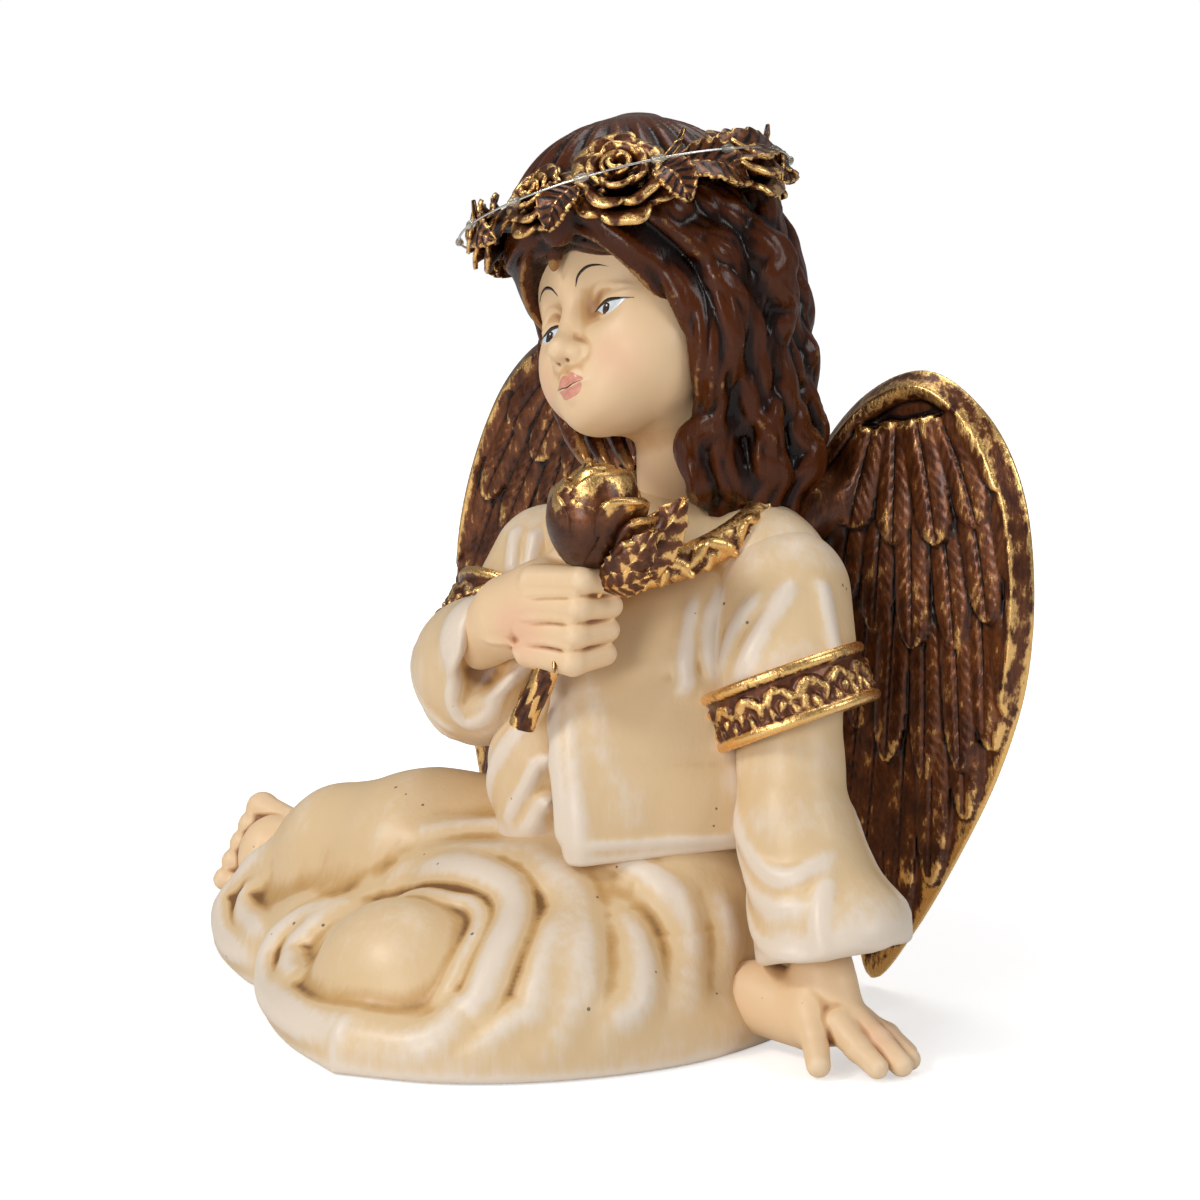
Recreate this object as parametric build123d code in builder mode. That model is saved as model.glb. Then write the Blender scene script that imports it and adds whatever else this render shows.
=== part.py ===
"""A seated child angel cast in resin, with a flower wreath lit by a battery-powered light wire.

Millimetres, +Z up. The figure's chest faces -Y and its left hand is at +X. The origin is on the
plane that the figure rests on, under the middle of the pelvis.
"""

import os
from math import acos, cos, degrees, radians, sin, tan

from build123d import *

os.makedirs("parts", exist_ok=True)

# ---- Driving dimensions -------------------------------------------------------------------
robe_slab_height = 13.0        # the spread hem that touches the ground
robe_edge_radius = 5.0
neck_radius = 11.5
sleeve_radius = 17.0
wing_thickness = 7.0
wing_plane_y = 50.0            # middle of both wings' thickness
wing_tenon_radius = 4.0
wing_tenon_reach = 9.0         # how deep a tenon goes into the back

head_centre = Vector(3, 9, 182)
head_roll = -18.0              # degrees about -Y: the head leans to its own right
head_yaw = -6.0                # degrees about Z: the face turns to its own right
skull_radius = 28.5
hair_centre = Vector(1, 13, 189)
hair_radius = 36.0

wreath_centre = Vector(-5, 8, 210)
wreath_radius = 37.0
vine_radius = 2.6
rose_radius = 8.6
wire_radius = 0.45
wire_loop_radius = 45.0
bead_radius = 1.4

cell_radius = 7.1              # AA cells
cell_length = 50.0
box_wall = 1.6
box_length = 64.0
box_width = 33.0
box_depth = 18.0
flange_margin = 4.0
flange_thickness = 1.6
flange_recess = 0.8            # how far the flange sits above the resting plane
bay_clearance = 0.3
box_centre = Vector(-8, -28, 0)
door_length = 53.0
door_width = 30.0
door_gap = 0.4
channel_radius = 2.5           # drilled way for a lead, from the bay up into the head
channel_x, channel_y = 7.0, 17.0


# ---- Shared shapes ------------------------------------------------------------------------
def round_limb(start, start_radius, end, end_radius):
    """Adds to the current part a limb with ball ends joined by a tangent cone."""
    start, end = Vector(*start), Vector(*end)
    along = end - start
    lean = acos((start_radius - end_radius) / along.length)
    section = Plane(origin=start, x_dir=along, z_dir=along.cross(Vector(0.3, 0.2, 1)))
    with BuildSketch(section) as profile:
        with BuildLine():
            heel = CenterArc((0, 0), start_radius, 180, degrees(lean) - 180)
            toe = CenterArc((along.length, 0), end_radius, degrees(lean), -degrees(lean))
            Line(heel @ 1, toe @ 0)
            Line(toe @ 1, heel @ 0)
        make_face()
    revolve(profile.sketch, axis=Axis(start, along))


def limb_chain(stations):
    """Adds limbs through a list of (centre, radius)."""
    for (start, start_radius), (end, end_radius) in zip(stations, stations[1:]):
        round_limb(start, start_radius, end, end_radius)


def ellipse_loft(stations):
    """Adds a loft through ellipses, each (centre, half width, half depth, normal)."""
    rings = []
    for centre, half_width, half_depth, normal in stations:
        normal = Vector(*normal).normalized()
        across = Vector(1, 0, 0) - normal * normal.X
        with BuildSketch(Plane(origin=centre, x_dir=across, z_dir=normal)) as ring:
            Ellipse(half_width, half_depth)
        rings.append(ring.sketch)
    loft(rings)


def tube(stations):
    """Adds a smooth tube through a list of (centre, half width, half depth)."""
    centres = [Vector(*station[0]) for station in stations]
    last = len(centres) - 1
    normals = [centres[min(at + 1, last)] - centres[max(at - 1, 0)] for at in range(last + 1)]
    ellipse_loft([(*station, tuple(normal)) for station, normal in zip(stations, normals)])


def turned_by_head(profile_points, centre, mode=Mode.ADD):
    """Adds a shape revolved about the head's own upright axis from half its outline."""
    with BuildSketch(Plane.XZ) as half:
        with BuildLine():
            curve = Spline(profile_points, tangents=[(1, 0), (-1, 0)])
            Line(curve @ 1, curve @ 0)
        make_face()
    turned = revolve(half.sketch, axis=Axis.Z, mode=Mode.PRIVATE)
    add(Location(tuple(centre), (0, head_roll, head_yaw)) * turned, mode=mode)


def cut_by(*others):
    """Cuts other sections away from the current part, so that they meet face to face."""
    for other in others:
        add(other.part, mode=Mode.SUBTRACT)


def save(builder, name):
    """Writes a section, without any crumbs that its cuts left behind."""
    solids = builder.part.solids()
    largest = max(solid.volume for solid in solids)
    kept = [solid for solid in solids if solid.volume > 0.02 * largest]
    shape = kept[0] if len(kept) == 1 else Compound(kept)
    shape.label = name
    export_step(shape, f"parts/{name}.step")


# ---- The drilled way for the lead: sideways out of the bay, up, and out at the back of the head
box_top = flange_recess + box_depth
lead_height = box_top - 9
exit_height = 200.0
lead_corners = [
    (channel_x, box_centre.Y + box_width / 2 + 1, lead_height),
    (channel_x, channel_y, lead_height),
    (channel_x, channel_y, exit_height),
    (channel_x, 80, exit_height),
]


def widest_bends(corners):
    """The largest bend at each inner corner that its two runs leave room for."""
    points = [Vector(*corner) for corner in corners]
    bends = []
    for before, corner, after in zip(points, points[1:], points[2:]):
        turn = radians((corner - before).get_angle(after - corner))
        bends.append(0.45 * min((corner - before).length, (after - corner).length) / tan(turn / 2))
    return bends


def pipe_along(corners, bend, pipe_radius):
    """Adds a round pipe along straight runs joined by bends, and returns its route."""
    with BuildLine() as route:
        FilletPolyline(*corners, radius=bend)
    path = route.wire()
    with BuildSketch(Plane(origin=path @ 0, z_dir=path % 0)) as bore:
        Circle(pipe_radius)
    sweep(bore.sketch, path=path)
    return path


with BuildPart() as lead_way:
    pipe_along([(channel_x, box_centre.Y, lead_height), *lead_corners[1:]], 4, channel_radius)

# ---- Robe: the spread skirt over the folded legs --------------------------------------------
robe_outline = [
    (-7, -102), (20, -92), (41, -73), (56, -44), (60, -18), (57, 12), (46, 36), (20, 48),
    (-15, 48), (-48, 37), (-88, 17), (-115, 0), (-125, -23), (-106, -42), (-74, -60), (-36, -90),
]
left_leg = [((22, -12, 26), 27), ((-11, -68, 17), 21.5), ((-62, -44, 13), 15)]
right_leg = [((-12, 2, 30), 28), ((-58, -24, 30), 25), ((-84, -22, 26), 17), ((-104, -20, 17), 12)]

with BuildPart() as robe_skirt:
    with BuildSketch():
        with BuildLine():
            Spline(robe_outline, periodic=True)
        make_face()
    extrude(amount=robe_slab_height)
    fillet(robe_skirt.faces().sort_by(Axis.Z)[-1].edges(), robe_edge_radius)
    limb_chain(left_leg)
    limb_chain(right_leg)
    with Locations((6, 12, 32)):
        Sphere(34)
    split(bisect_by=Plane.XY, keep=Keep.TOP)
    with BuildSketch():
        with Locations(box_centre):
            RectangleRounded(
                box_length + 2 * flange_margin + 2 * bay_clearance,
                box_width + 2 * flange_margin + 2 * bay_clearance, 3)
    extrude(amount=flange_recess + flange_thickness, mode=Mode.SUBTRACT)
    with BuildSketch():
        with Locations(box_centre):
            Rectangle(box_length + 2 * bay_clearance, box_width + 2 * bay_clearance)
    extrude(amount=flange_recess + box_depth + bay_clearance, mode=Mode.SUBTRACT)
    cut_by(lead_way)

# ---- Left foot: its toes stick out past the hem -----------------------------------------------
toe_count = 5
with BuildPart() as left_foot:
    round_limb((-96, -22, 24), 10, (-108, -23, 27), 10)
    for toe in range(toe_count):
        share = toe / (toe_count - 1)
        toe_radius = 4.3 - 1.2 * share
        root = (-108 - 2 * share, -20 - 8 * share, 35 - 17 * share)
        tip = (-116.5 - 3 * share, -20 - 11 * share, 37.5 - 18.5 * share)
        round_limb(root, toe_radius, tip, toe_radius * 0.95)
    cut_by(robe_skirt)

# ---- Tunic: the loose top over the chest --------------------------------------------------------
upright = (0, 0, 1)
tunic_stations = [
    ((5, 2, 47), 42, 39, upright),
    ((5, 5, 68), 37, 33, upright),
    ((5, 10, 92), 35, 28, upright),
    ((6, 16, 120), 33, 21, upright),
    ((7, 19, 133), 19, 15, upright),
]
tenon_places = [(24, 38, 124), (-18, 38, 122)]
with BuildPart() as tunic:
    ellipse_loft(tunic_stations)
    with Locations((42, 14, 112), (-34, 16, 110)):
        Sphere(sleeve_radius)
    for x, y, z in tenon_places:
        with Locations(Location((x, y + 12, z), (90, 0, 0))):
            Cylinder(wing_tenon_radius, 12 + wing_tenon_reach,
                     align=(Align.CENTER, Align.CENTER, Align.MIN), mode=Mode.SUBTRACT)
    cut_by(lead_way, robe_skirt)

# ---- Head with its neck, then the hair round it ---------------------------------------------------
neck_lean = 20.0
with BuildPart() as head:
    turned_by_head([(0, 33), (21, 24), (skull_radius, 4), (24, -14), (12, -28), (0, -33)],
                   head_centre + Vector(1, -1, 0))
    with Locations(Location((8, 20, 127), (neck_lean, 0, 0))):
        Cylinder(neck_radius, 40, align=(Align.CENTER, Align.CENTER, Align.MIN))
    cut_by(lead_way, tunic)

grommet_radius = 3.6
grommet_end_y = 53.0
with BuildPart() as wire_grommet:
    with Locations(Location((channel_x, grommet_end_y, exit_height), (90, 0, 0))):
        Cylinder(grommet_radius, 10, align=(Align.CENTER, Align.CENTER, Align.MIN))
        Cylinder(1.1, 10, align=(Align.CENTER, Align.CENTER, Align.MIN), mode=Mode.SUBTRACT)
    fillet(wire_grommet.faces().sort_by(Axis.Y)[-1].edges(), 0.8)

with BuildPart() as hair:
    turned_by_head([(0, 44), (25, 36), (hair_radius, 8), (34, -18), (22, -36), (0, -40)], hair_centre)
    tube([((6, 30, 186), 29, 23), ((9, 34, 164), 29, 20.5), ((12, 34, 146), 28, 17),
          ((13, 34, 134), 23, 13)])
    turned_by_head([(0, 30), (18, 24), (27, 0), (18, -26), (0, -34)],
                   head_centre + Vector(0, -27, -12), mode=Mode.SUBTRACT)
    cut_by(head, tunic, lead_way, wire_grommet)

# ---- Collar band round the neck opening --------------------------------------------------------------
with BuildPart() as collar_trim:
    with Locations(Location((8, 10, 124), (26, 0, 0))):
        Torus(26, 5)
    cut_by(tunic, head, hair)

# ---- Wings ----------------------------------------------------------------------------------------------
wing_outline = [
    (22, 116), (26, 138), (42, 159), (62, 167), (80, 157), (91, 138), (95.5, 114), (94, 88),
    (86, 64), (74, 40), (60, 16), (47, 3), (42, 22), (35, 52), (29, 86),
]
wing_root = (28, 131)
right_wing_swing = 10.0        # degrees that the right wing's tip stands further out
right_wing_scale = 0.96


def wing(side, tenon_place, swing, size):
    """A wing plate with its tenon. side is 1 for the left wing and -1 for the right."""
    root_x, root_z = wing_root
    turn = radians(swing)
    outline = []
    for x, z in wing_outline:
        out, up = (x - root_x) * size, (z - root_z) * size
        outline.append((side * (root_x + out * cos(turn) - up * sin(turn)),
                        root_z + up * cos(turn) + out * sin(turn)))
    with BuildPart() as plate:
        with BuildSketch(Plane(origin=(0, wing_plane_y, 0), x_dir=(1, 0, 0), z_dir=(0, -1, 0))):
            with BuildLine():
                Spline(outline, periodic=True)
            make_face()
        extrude(amount=wing_thickness / 2, both=True)
        x, y, z = tenon_place
        with Locations(Location((x, wing_plane_y, z), (90, 0, 0))):
            Cylinder(wing_tenon_radius, wing_plane_y - y + wing_tenon_reach,
                     align=(Align.CENTER, Align.CENTER, Align.MIN))
        round_limb((x, y - 2, z), 8, (x + side * 12, wing_plane_y, z + 10), 8)
        cut_by(tunic, hair, robe_skirt, collar_trim)
    return plate


wing_left = wing(1, tenon_places[0], 0, 1.0)
wing_right = wing(-1, tenon_places[1], right_wing_swing, right_wing_scale)

# ---- Left arm: short over-sleeve, band, bell sleeve and the hand on the ground ---------------------------
with BuildPart() as left_upper_sleeve:
    round_limb((43, 14, 111), sleeve_radius, (53, 3, 90), sleeve_radius + 0.5)
    split(bisect_by=Plane(origin=(53, 3, 86), z_dir=(-0.25, 0.2, 1)), keep=Keep.TOP)
    cut_by(tunic, wing_left, hair)

arm_direction = Vector(-0.25, 0.2, 1)
band_width = 15.0
with BuildPart() as left_lower_sleeve:
    ellipse_loft([
        ((54, 2, 86), 14.2, 13.5, (-0.25, 0.2, 1)),
        ((58, -2, 66), 13.4, 13, (-0.3, 0.2, 1)),
        ((65, -6, 46), 15.4, 14.8, (-0.35, 0.15, 1)),
        ((75, -9, 28), 19, 16.5, (-0.35, 0.1, 1)),
    ])
    cut_by(left_upper_sleeve, tunic, robe_skirt, wing_left)

with BuildPart() as left_hand:
    limb_chain([((70, -9, 34), 9), ((78, -13, 15), 8), ((88, -13, 8), 6)])
    for knuckle, tip, finger_radius in [
        ((76, -16, 12), (84, -24, 4), 4.2),
        ((84, -16, 9), (98, -14, 4), 3.6),
        ((86, -12, 9), (99, -8, 4), 3.6),
        ((85, -9, 9), (95, -2, 4), 3.4),
    ]:
        round_limb(knuckle, finger_radius, tip, finger_radius)
    split(bisect_by=Plane.XY, keep=Keep.TOP)
    cut_by(left_lower_sleeve, robe_skirt, wing_left)


def arm_band(centre, direction, outer_radius, inner_radius, others):
    """A flat ring round an upper arm with a raised bead along both edges."""
    axis_plane = Plane(origin=centre, x_dir=direction, z_dir=Vector(*direction).cross(Vector(1, 0, 0)))
    half = band_width / 2
    with BuildPart() as band:
        with BuildSketch(axis_plane) as profile:
            with Locations((0, (outer_radius + inner_radius) / 2)):
                Rectangle(band_width, outer_radius - inner_radius)
            with Locations((-half, outer_radius - 0.6), (half, outer_radius - 0.6)):
                Circle(1.8)
        revolve(profile.sketch, axis=Axis(centre, direction))
        cut_by(*others)
    return band


left_arm_band = arm_band((53.5, 2.5, 84.5), (-0.25, 0.2, 1), 19.0, 14.5,
                         [left_upper_sleeve, left_lower_sleeve, tunic, wing_left])

# ---- Right arm: sleeve bent to the chest, with its open cuff, and the hand --------------------------------
with BuildPart() as right_sleeve:
    round_limb((-37, 15, 111), sleeve_radius, (-42, -9, 80), sleeve_radius - 1.5)
    tube([((-46, -9, 73), 13, 15), ((-34, -20, 78), 15, 18), ((-24, -28, 88), 16, 20),
          ((-14, -33, 101), 13, 15)])
    cut_by(tunic, robe_skirt, wing_right)

right_arm_band = arm_band((-39.6, 2.0, 94.2), (5, 24, 31), 19.3, 15.3,
                          [right_sleeve, tunic, wing_right])

with BuildPart() as rose_stem:
    round_limb((27, -35, 122), 3.0, (4, -43, 80), 3.2)
    cut_by(tunic, right_sleeve, robe_skirt)

with BuildPart() as right_hand:
    limb_chain([((-16, -33, 101), 9), ((-4, -36, 107), 9.5), ((8, -37, 110), 10)])
    for finger in range(4):
        height = 117.5 - 6 * finger
        round_limb((6, -43, height - 1), 3.8, (24 - finger, -41, height + 1 - finger), 3.3)
        round_limb((24 - finger, -41, height + 1 - finger), 3.3, (25 - finger, -33, height), 3.3)
    cut_by(tunic, right_sleeve, rose_stem)

# ---- The rose in the hand ---------------------------------------------------------------------------------
with BuildPart() as rose_bloom:
    with BuildSketch(Plane.XZ):
        with BuildLine():
            Polyline((0, -13), (4, -13), (10, -8), (12.2, 0), (10.5, 8), (8, 13.5), (0, 13.5), close=True)
        make_face()
    revolve(axis=Axis.Z)
    fillet(rose_bloom.edges().filter_by(GeomType.CIRCLE), 2.0)
rose_bloom.part.location = Location((24, -34, 137.5))
with BuildPart() as bloom_placed:
    add(rose_bloom.part)
    cut_by(tunic, right_hand, rose_stem, head, collar_trim)
rose_bloom = bloom_placed

with BuildPart() as rose_leaves:
    for tip_x, tip_y, tip_z in [(39, -26, 139), (38, -38, 130)]:
        round_limb((30, -32, 120), 2.5, (tip_x, tip_y, tip_z), 3.2)
    cut_by(rose_bloom, tunic, right_hand, rose_stem, collar_trim, head)

# ---- Wreath: vine, roses and leaves ---------------------------------------------------------------------------
wreath_tilt = Location((0, 0, 0), (0, head_roll, head_yaw))
wreath_place = Location(tuple(wreath_centre)) * wreath_tilt
with BuildPart() as wreath_vine:
    with Locations(wreath_place):
        Torus(wreath_radius, vine_radius)



def on_wreath(angle, out, up):
    """A point beside the vine, at an angle from the figure's left round to its back."""
    place = Location((out * cos(radians(angle)), out * sin(radians(angle)), up))
    return tuple((wreath_place * place).position)


# The wire comes out at the back of the head and goes once round the wreath.
bead_count = 12
wire_corners = [
    (channel_x, grommet_end_y - 8, exit_height), (channel_x, grommet_end_y + 4, exit_height),
    on_wreath(74, 47, -2),
    *[on_wreath(angle, 45.6, 0) for angle in range(50, -256, -28)],
]
with BuildPart() as led_wire:
    wire_route = pipe_along(wire_corners, widest_bends(wire_corners), wire_radius)
with BuildPart() as led_beads:
    for bead in range(bead_count):
        share = 0.06 + 0.92 * (bead + 0.5) / bead_count
        with Locations(Plane(origin=wire_route @ share, z_dir=wire_route % share)):
            Sphere(bead_radius)
            Cylinder(wire_radius + 0.05, 3 * bead_radius, mode=Mode.SUBTRACT)
print("wire bends", [round(bend, 1) for bend in widest_bends(wire_corners)],
      "volume", led_wire.part.volume, 3.14159 * wire_radius**2 * wire_route.length)

rose_angles = [222, 264, 300, 352, 52, 146]     # degrees round the wreath from the figure's left
wreath_roses = []
for rose_angle in rose_angles:
    with BuildPart() as wreath_rose:
        spot = wreath_place * Location(
            (wreath_radius * cos(radians(rose_angle)), wreath_radius * sin(radians(rose_angle)), 1))
        with Locations(spot):
            Sphere(rose_radius)
        cut_by(hair, head, led_wire, led_beads, wire_grommet)
    wreath_roses.append(wreath_rose)

leaf_angles = [190, 238, 280, 322, 20, 75, 112, 172]
with BuildPart() as wreath_leaves:
    for leaf_angle in leaf_angles:
        spot = wreath_place * Location((0, 0, 0), (0, 0, leaf_angle)) * Location((39, 0, -5), (0, 35, 0))
        with Locations(spot):
            Cylinder(5.5, 2.0)
    cut_by(hair, head, led_wire, led_beads, wreath_vine, *wreath_roses)

with BuildPart() as wreath_vine_cut:
    add(wreath_vine.part)
    cut_by(hair, head, *wreath_roses)
wreath_vine = wreath_vine_cut

# ---- Battery unit in the base ------------------------------------------------------------------------------------
switch_x = box_centre.X + box_length / 2 - 5
switch_throw = 2.0
with BuildPart() as battery_box:
    with BuildSketch(Plane.XY.offset(flange_recess)):
        with Locations(box_centre):
            RectangleRounded(box_length + 2 * flange_margin, box_width + 2 * flange_margin, 2.8)
    extrude(amount=flange_thickness)
    with BuildSketch(Plane.XY.offset(flange_recess)):
        with Locations(box_centre):
            Rectangle(box_length, box_width)
    extrude(amount=box_depth)
    with BuildSketch(Plane.XY.offset(flange_recess + flange_thickness)):
        with Locations(box_centre):
            Rectangle(box_length - 2 * box_wall, box_width - 2 * box_wall)
    extrude(amount=box_depth - flange_thickness - box_wall, mode=Mode.SUBTRACT)
    with BuildSketch(Plane.XY.offset(flange_recess)):
        with Locations(box_centre + Vector(-3, 0)):
            Rectangle(door_length, door_width - 2 * door_gap)
    extrude(amount=flange_thickness, mode=Mode.SUBTRACT)
    with Locations((channel_x, box_centre.Y + box_width / 2, lead_height)):
        Box(4, 3 * box_wall, 4, mode=Mode.SUBTRACT)
    with Locations((switch_x, box_centre.Y, flange_recess)):
        Box(3.2, 7, 3 * flange_thickness, mode=Mode.SUBTRACT)

door_hinge_y = box_centre.Y + door_width / 2 - door_gap - door_gap - flange_thickness / 2
door_hinge_z = flange_recess + flange_thickness / 2
with BuildPart() as battery_door:
    with BuildSketch(Plane.XY.offset(flange_recess)):
        with Locations((box_centre.X - 3, (door_hinge_y + box_centre.Y - door_width / 2 + 2 * door_gap) / 2)):
            Rectangle(door_length - 2 * door_gap, door_hinge_y - box_centre.Y + door_width / 2 - 2 * door_gap)
    extrude(amount=flange_thickness)
    with Locations(Location((box_centre.X - 3, door_hinge_y, door_hinge_z), (0, 90, 0))):
        Cylinder(flange_thickness / 2, door_length - 2 * door_gap)
    for ridge in range(4):
        with Locations((box_centre.X - 3, box_centre.Y - 5 - 2 * ridge, flange_recess)):
            Box(12, 0.8, 0.6, mode=Mode.SUBTRACT)

cell_pitch = 2 * cell_radius + 0.5
cell_height = flange_recess + flange_thickness + cell_radius + 0.5
cells = []
for side in (-1, 1):
    with BuildPart() as cell:
        place = (box_centre.X - 3 - cell_length / 2, box_centre.Y + side * cell_pitch / 2, cell_height)
        with Locations(Location(place, (0, 90, 0))):
            Cylinder(cell_radius, cell_length - 1.2, align=(Align.CENTER, Align.CENTER, Align.MIN))
            Cylinder(2.7, cell_length, align=(Align.CENTER, Align.CENTER, Align.MIN))
    cells.append(cell)

contact_end = box_centre.X - box_length / 2 + box_wall
plate_end = box_centre.X - 3 + cell_length / 2 + 0.2
with BuildPart() as contact_springs:
    for side in (-1, 1):
        place = (contact_end, box_centre.Y + side * cell_pitch / 2, cell_height)
        room = box_centre.X - 3 - cell_length / 2 - contact_end
        with Locations(Location(place, (0, 90, 0))):
            Cone(4.5, 2.5, room - 0.1, align=(Align.CENTER, Align.CENTER, Align.MIN))
with BuildPart() as contact_plate:
    with Locations((plate_end + 0.25, box_centre.Y, cell_height)):
        Box(0.5, 26, 9)

with BuildPart() as switch_body:
    with Locations((switch_x, box_centre.Y, flange_recess + flange_thickness + 2.6)):
        Box(4.4, 9.5, 4.8)
with BuildPart() as switch_knob:
    with Locations((switch_x, box_centre.Y - switch_throw / 2, flange_recess + 0.75)):
        Box(2.2, 2.6, 1.3)
    fillet(switch_knob.edges().filter_by(Axis.Z), 0.4)

# ---- Files -----------------------------------------------------------------------------------------------------------
sections = {
    "robe_skirt": robe_skirt, "left_foot": left_foot, "tunic": tunic, "head": head, "hair": hair,
    "collar_trim": collar_trim, "wing_left": wing_left, "wing_right": wing_right,
    "left_upper_sleeve": left_upper_sleeve, "left_arm_band": left_arm_band,
    "left_lower_sleeve": left_lower_sleeve, "left_hand": left_hand,
    "right_sleeve": right_sleeve, "right_arm_band": right_arm_band, "right_hand": right_hand,
    "rose_bloom": rose_bloom, "rose_leaves": rose_leaves, "rose_stem": rose_stem,
    "wreath_vine": wreath_vine, "wreath_leaves": wreath_leaves,
    "led_wire": led_wire, "led_beads": led_beads, "wire_grommet": wire_grommet,
    "battery_box": battery_box, "battery_door": battery_door,
    "contact_springs": contact_springs, "contact_plate": contact_plate,
    "switch_body": switch_body, "switch_knob": switch_knob,
}
for number, wreath_rose in enumerate(wreath_roses, start=1):
    sections[f"wreath_rose_{number}"] = wreath_rose
for number, cell in enumerate(cells, start=1):
    sections[f"battery_{number}"] = cell
for name, builder in sections.items():
    save(builder, name)
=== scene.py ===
"""The look of the seated angel: sculpted robe, head, hair, hands, wings, roses and lights.

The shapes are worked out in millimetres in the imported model's frame and turned to metres when a
mesh is made. Soft forms are modelled as clay: a block of voxels that holds the distance to a
surface, to which rounded limbs are added and on which folds are drawn.
"""

import math

import bpy
import numpy as np
import openvdb
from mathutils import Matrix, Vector


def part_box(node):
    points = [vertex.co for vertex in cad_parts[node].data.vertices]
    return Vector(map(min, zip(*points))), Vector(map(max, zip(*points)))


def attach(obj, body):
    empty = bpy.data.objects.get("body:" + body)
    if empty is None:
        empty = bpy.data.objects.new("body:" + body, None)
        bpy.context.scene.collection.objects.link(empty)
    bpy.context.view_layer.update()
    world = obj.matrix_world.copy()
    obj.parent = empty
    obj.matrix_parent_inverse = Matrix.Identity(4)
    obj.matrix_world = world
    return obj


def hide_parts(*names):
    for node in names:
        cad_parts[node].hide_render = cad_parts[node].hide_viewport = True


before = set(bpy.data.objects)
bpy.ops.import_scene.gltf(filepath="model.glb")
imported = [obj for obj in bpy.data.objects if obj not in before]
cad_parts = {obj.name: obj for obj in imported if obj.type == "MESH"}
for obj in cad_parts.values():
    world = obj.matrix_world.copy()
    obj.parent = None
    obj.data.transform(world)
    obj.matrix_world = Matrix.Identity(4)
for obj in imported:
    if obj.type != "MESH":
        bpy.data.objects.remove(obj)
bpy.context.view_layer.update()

MM = 0.001
FAR = 60.0                                  # the distance stored where no form is near
RELAX_ROUNDS = 2                            # how often a sculpted mesh's points are evened out
SHADE_REACH = {"fine": 1.2, "broad": 4.0}   # mm over which hollows are felt, for each mark
FADE = (0.15, 0.15)                         # shares of a stroke over which its ends fade out


def box_mm(node):
    """A CAD node's lowest and highest corners, in millimetres."""
    low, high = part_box(node)
    return np.array(low) / MM, np.array(high) / MM


def v3(*values):
    """A vector of three numbers (or a place of two), fit for sums."""
    return np.array(values, float)


def unit(vector):
    return np.asarray(vector, float) / np.linalg.norm(vector)


def turn(axis, degrees_):
    """The matrix that turns about one of the axes x, y and z."""
    c, s = math.cos(math.radians(degrees_)), math.sin(math.radians(degrees_))
    return {
        "x": np.array([[1, 0, 0], [0, c, -s], [0, s, c]]),
        "y": np.array([[c, 0, s], [0, 1, 0], [-s, 0, c]]),
        "z": np.array([[c, -s, 0], [s, c, 0], [0, 0, 1]]),
    }[axis]


def curve(points, spacing=1.0):
    """Points along a smooth curve through a list of points, evenly spaced."""
    points = [np.asarray(point, float) for point in points]
    if len(points) == 2:
        fine = np.array([points[0] + (points[1] - points[0]) * t for t in np.linspace(0, 1, 40)])
    else:
        ends = [2 * points[0] - points[1], *points, 2 * points[-1] - points[-2]]
        fine = []
        for a, b, c, d in zip(ends, ends[1:], ends[2:], ends[3:]):
            t = np.linspace(0, 1, 24, endpoint=False)[:, None]
            fine.append(0.5 * (2 * b + (c - a) * t + (2 * a - 5 * b + 4 * c - d) * t**2
                               + (3 * b - a - 3 * c + d) * t**3))
        fine = np.concatenate([*fine, points[-1][None]])
    run = np.concatenate([[0], np.cumsum(np.linalg.norm(np.diff(fine, axis=0), axis=1))])
    count = max(int(run[-1] / spacing), 2) + 1
    at = np.linspace(0, run[-1], count)
    return np.stack([np.interp(at, run, fine[:, k]) for k in range(fine.shape[1])], axis=1)


def soft_min(a, b, blend):
    """The union of two distances, with a fillet about as wide as blend."""
    if blend <= 0:
        return np.minimum(a, b)
    h = np.maximum(blend - np.abs(a - b), 0) / blend
    return np.minimum(a, b) - h * h * blend * 0.25


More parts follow.
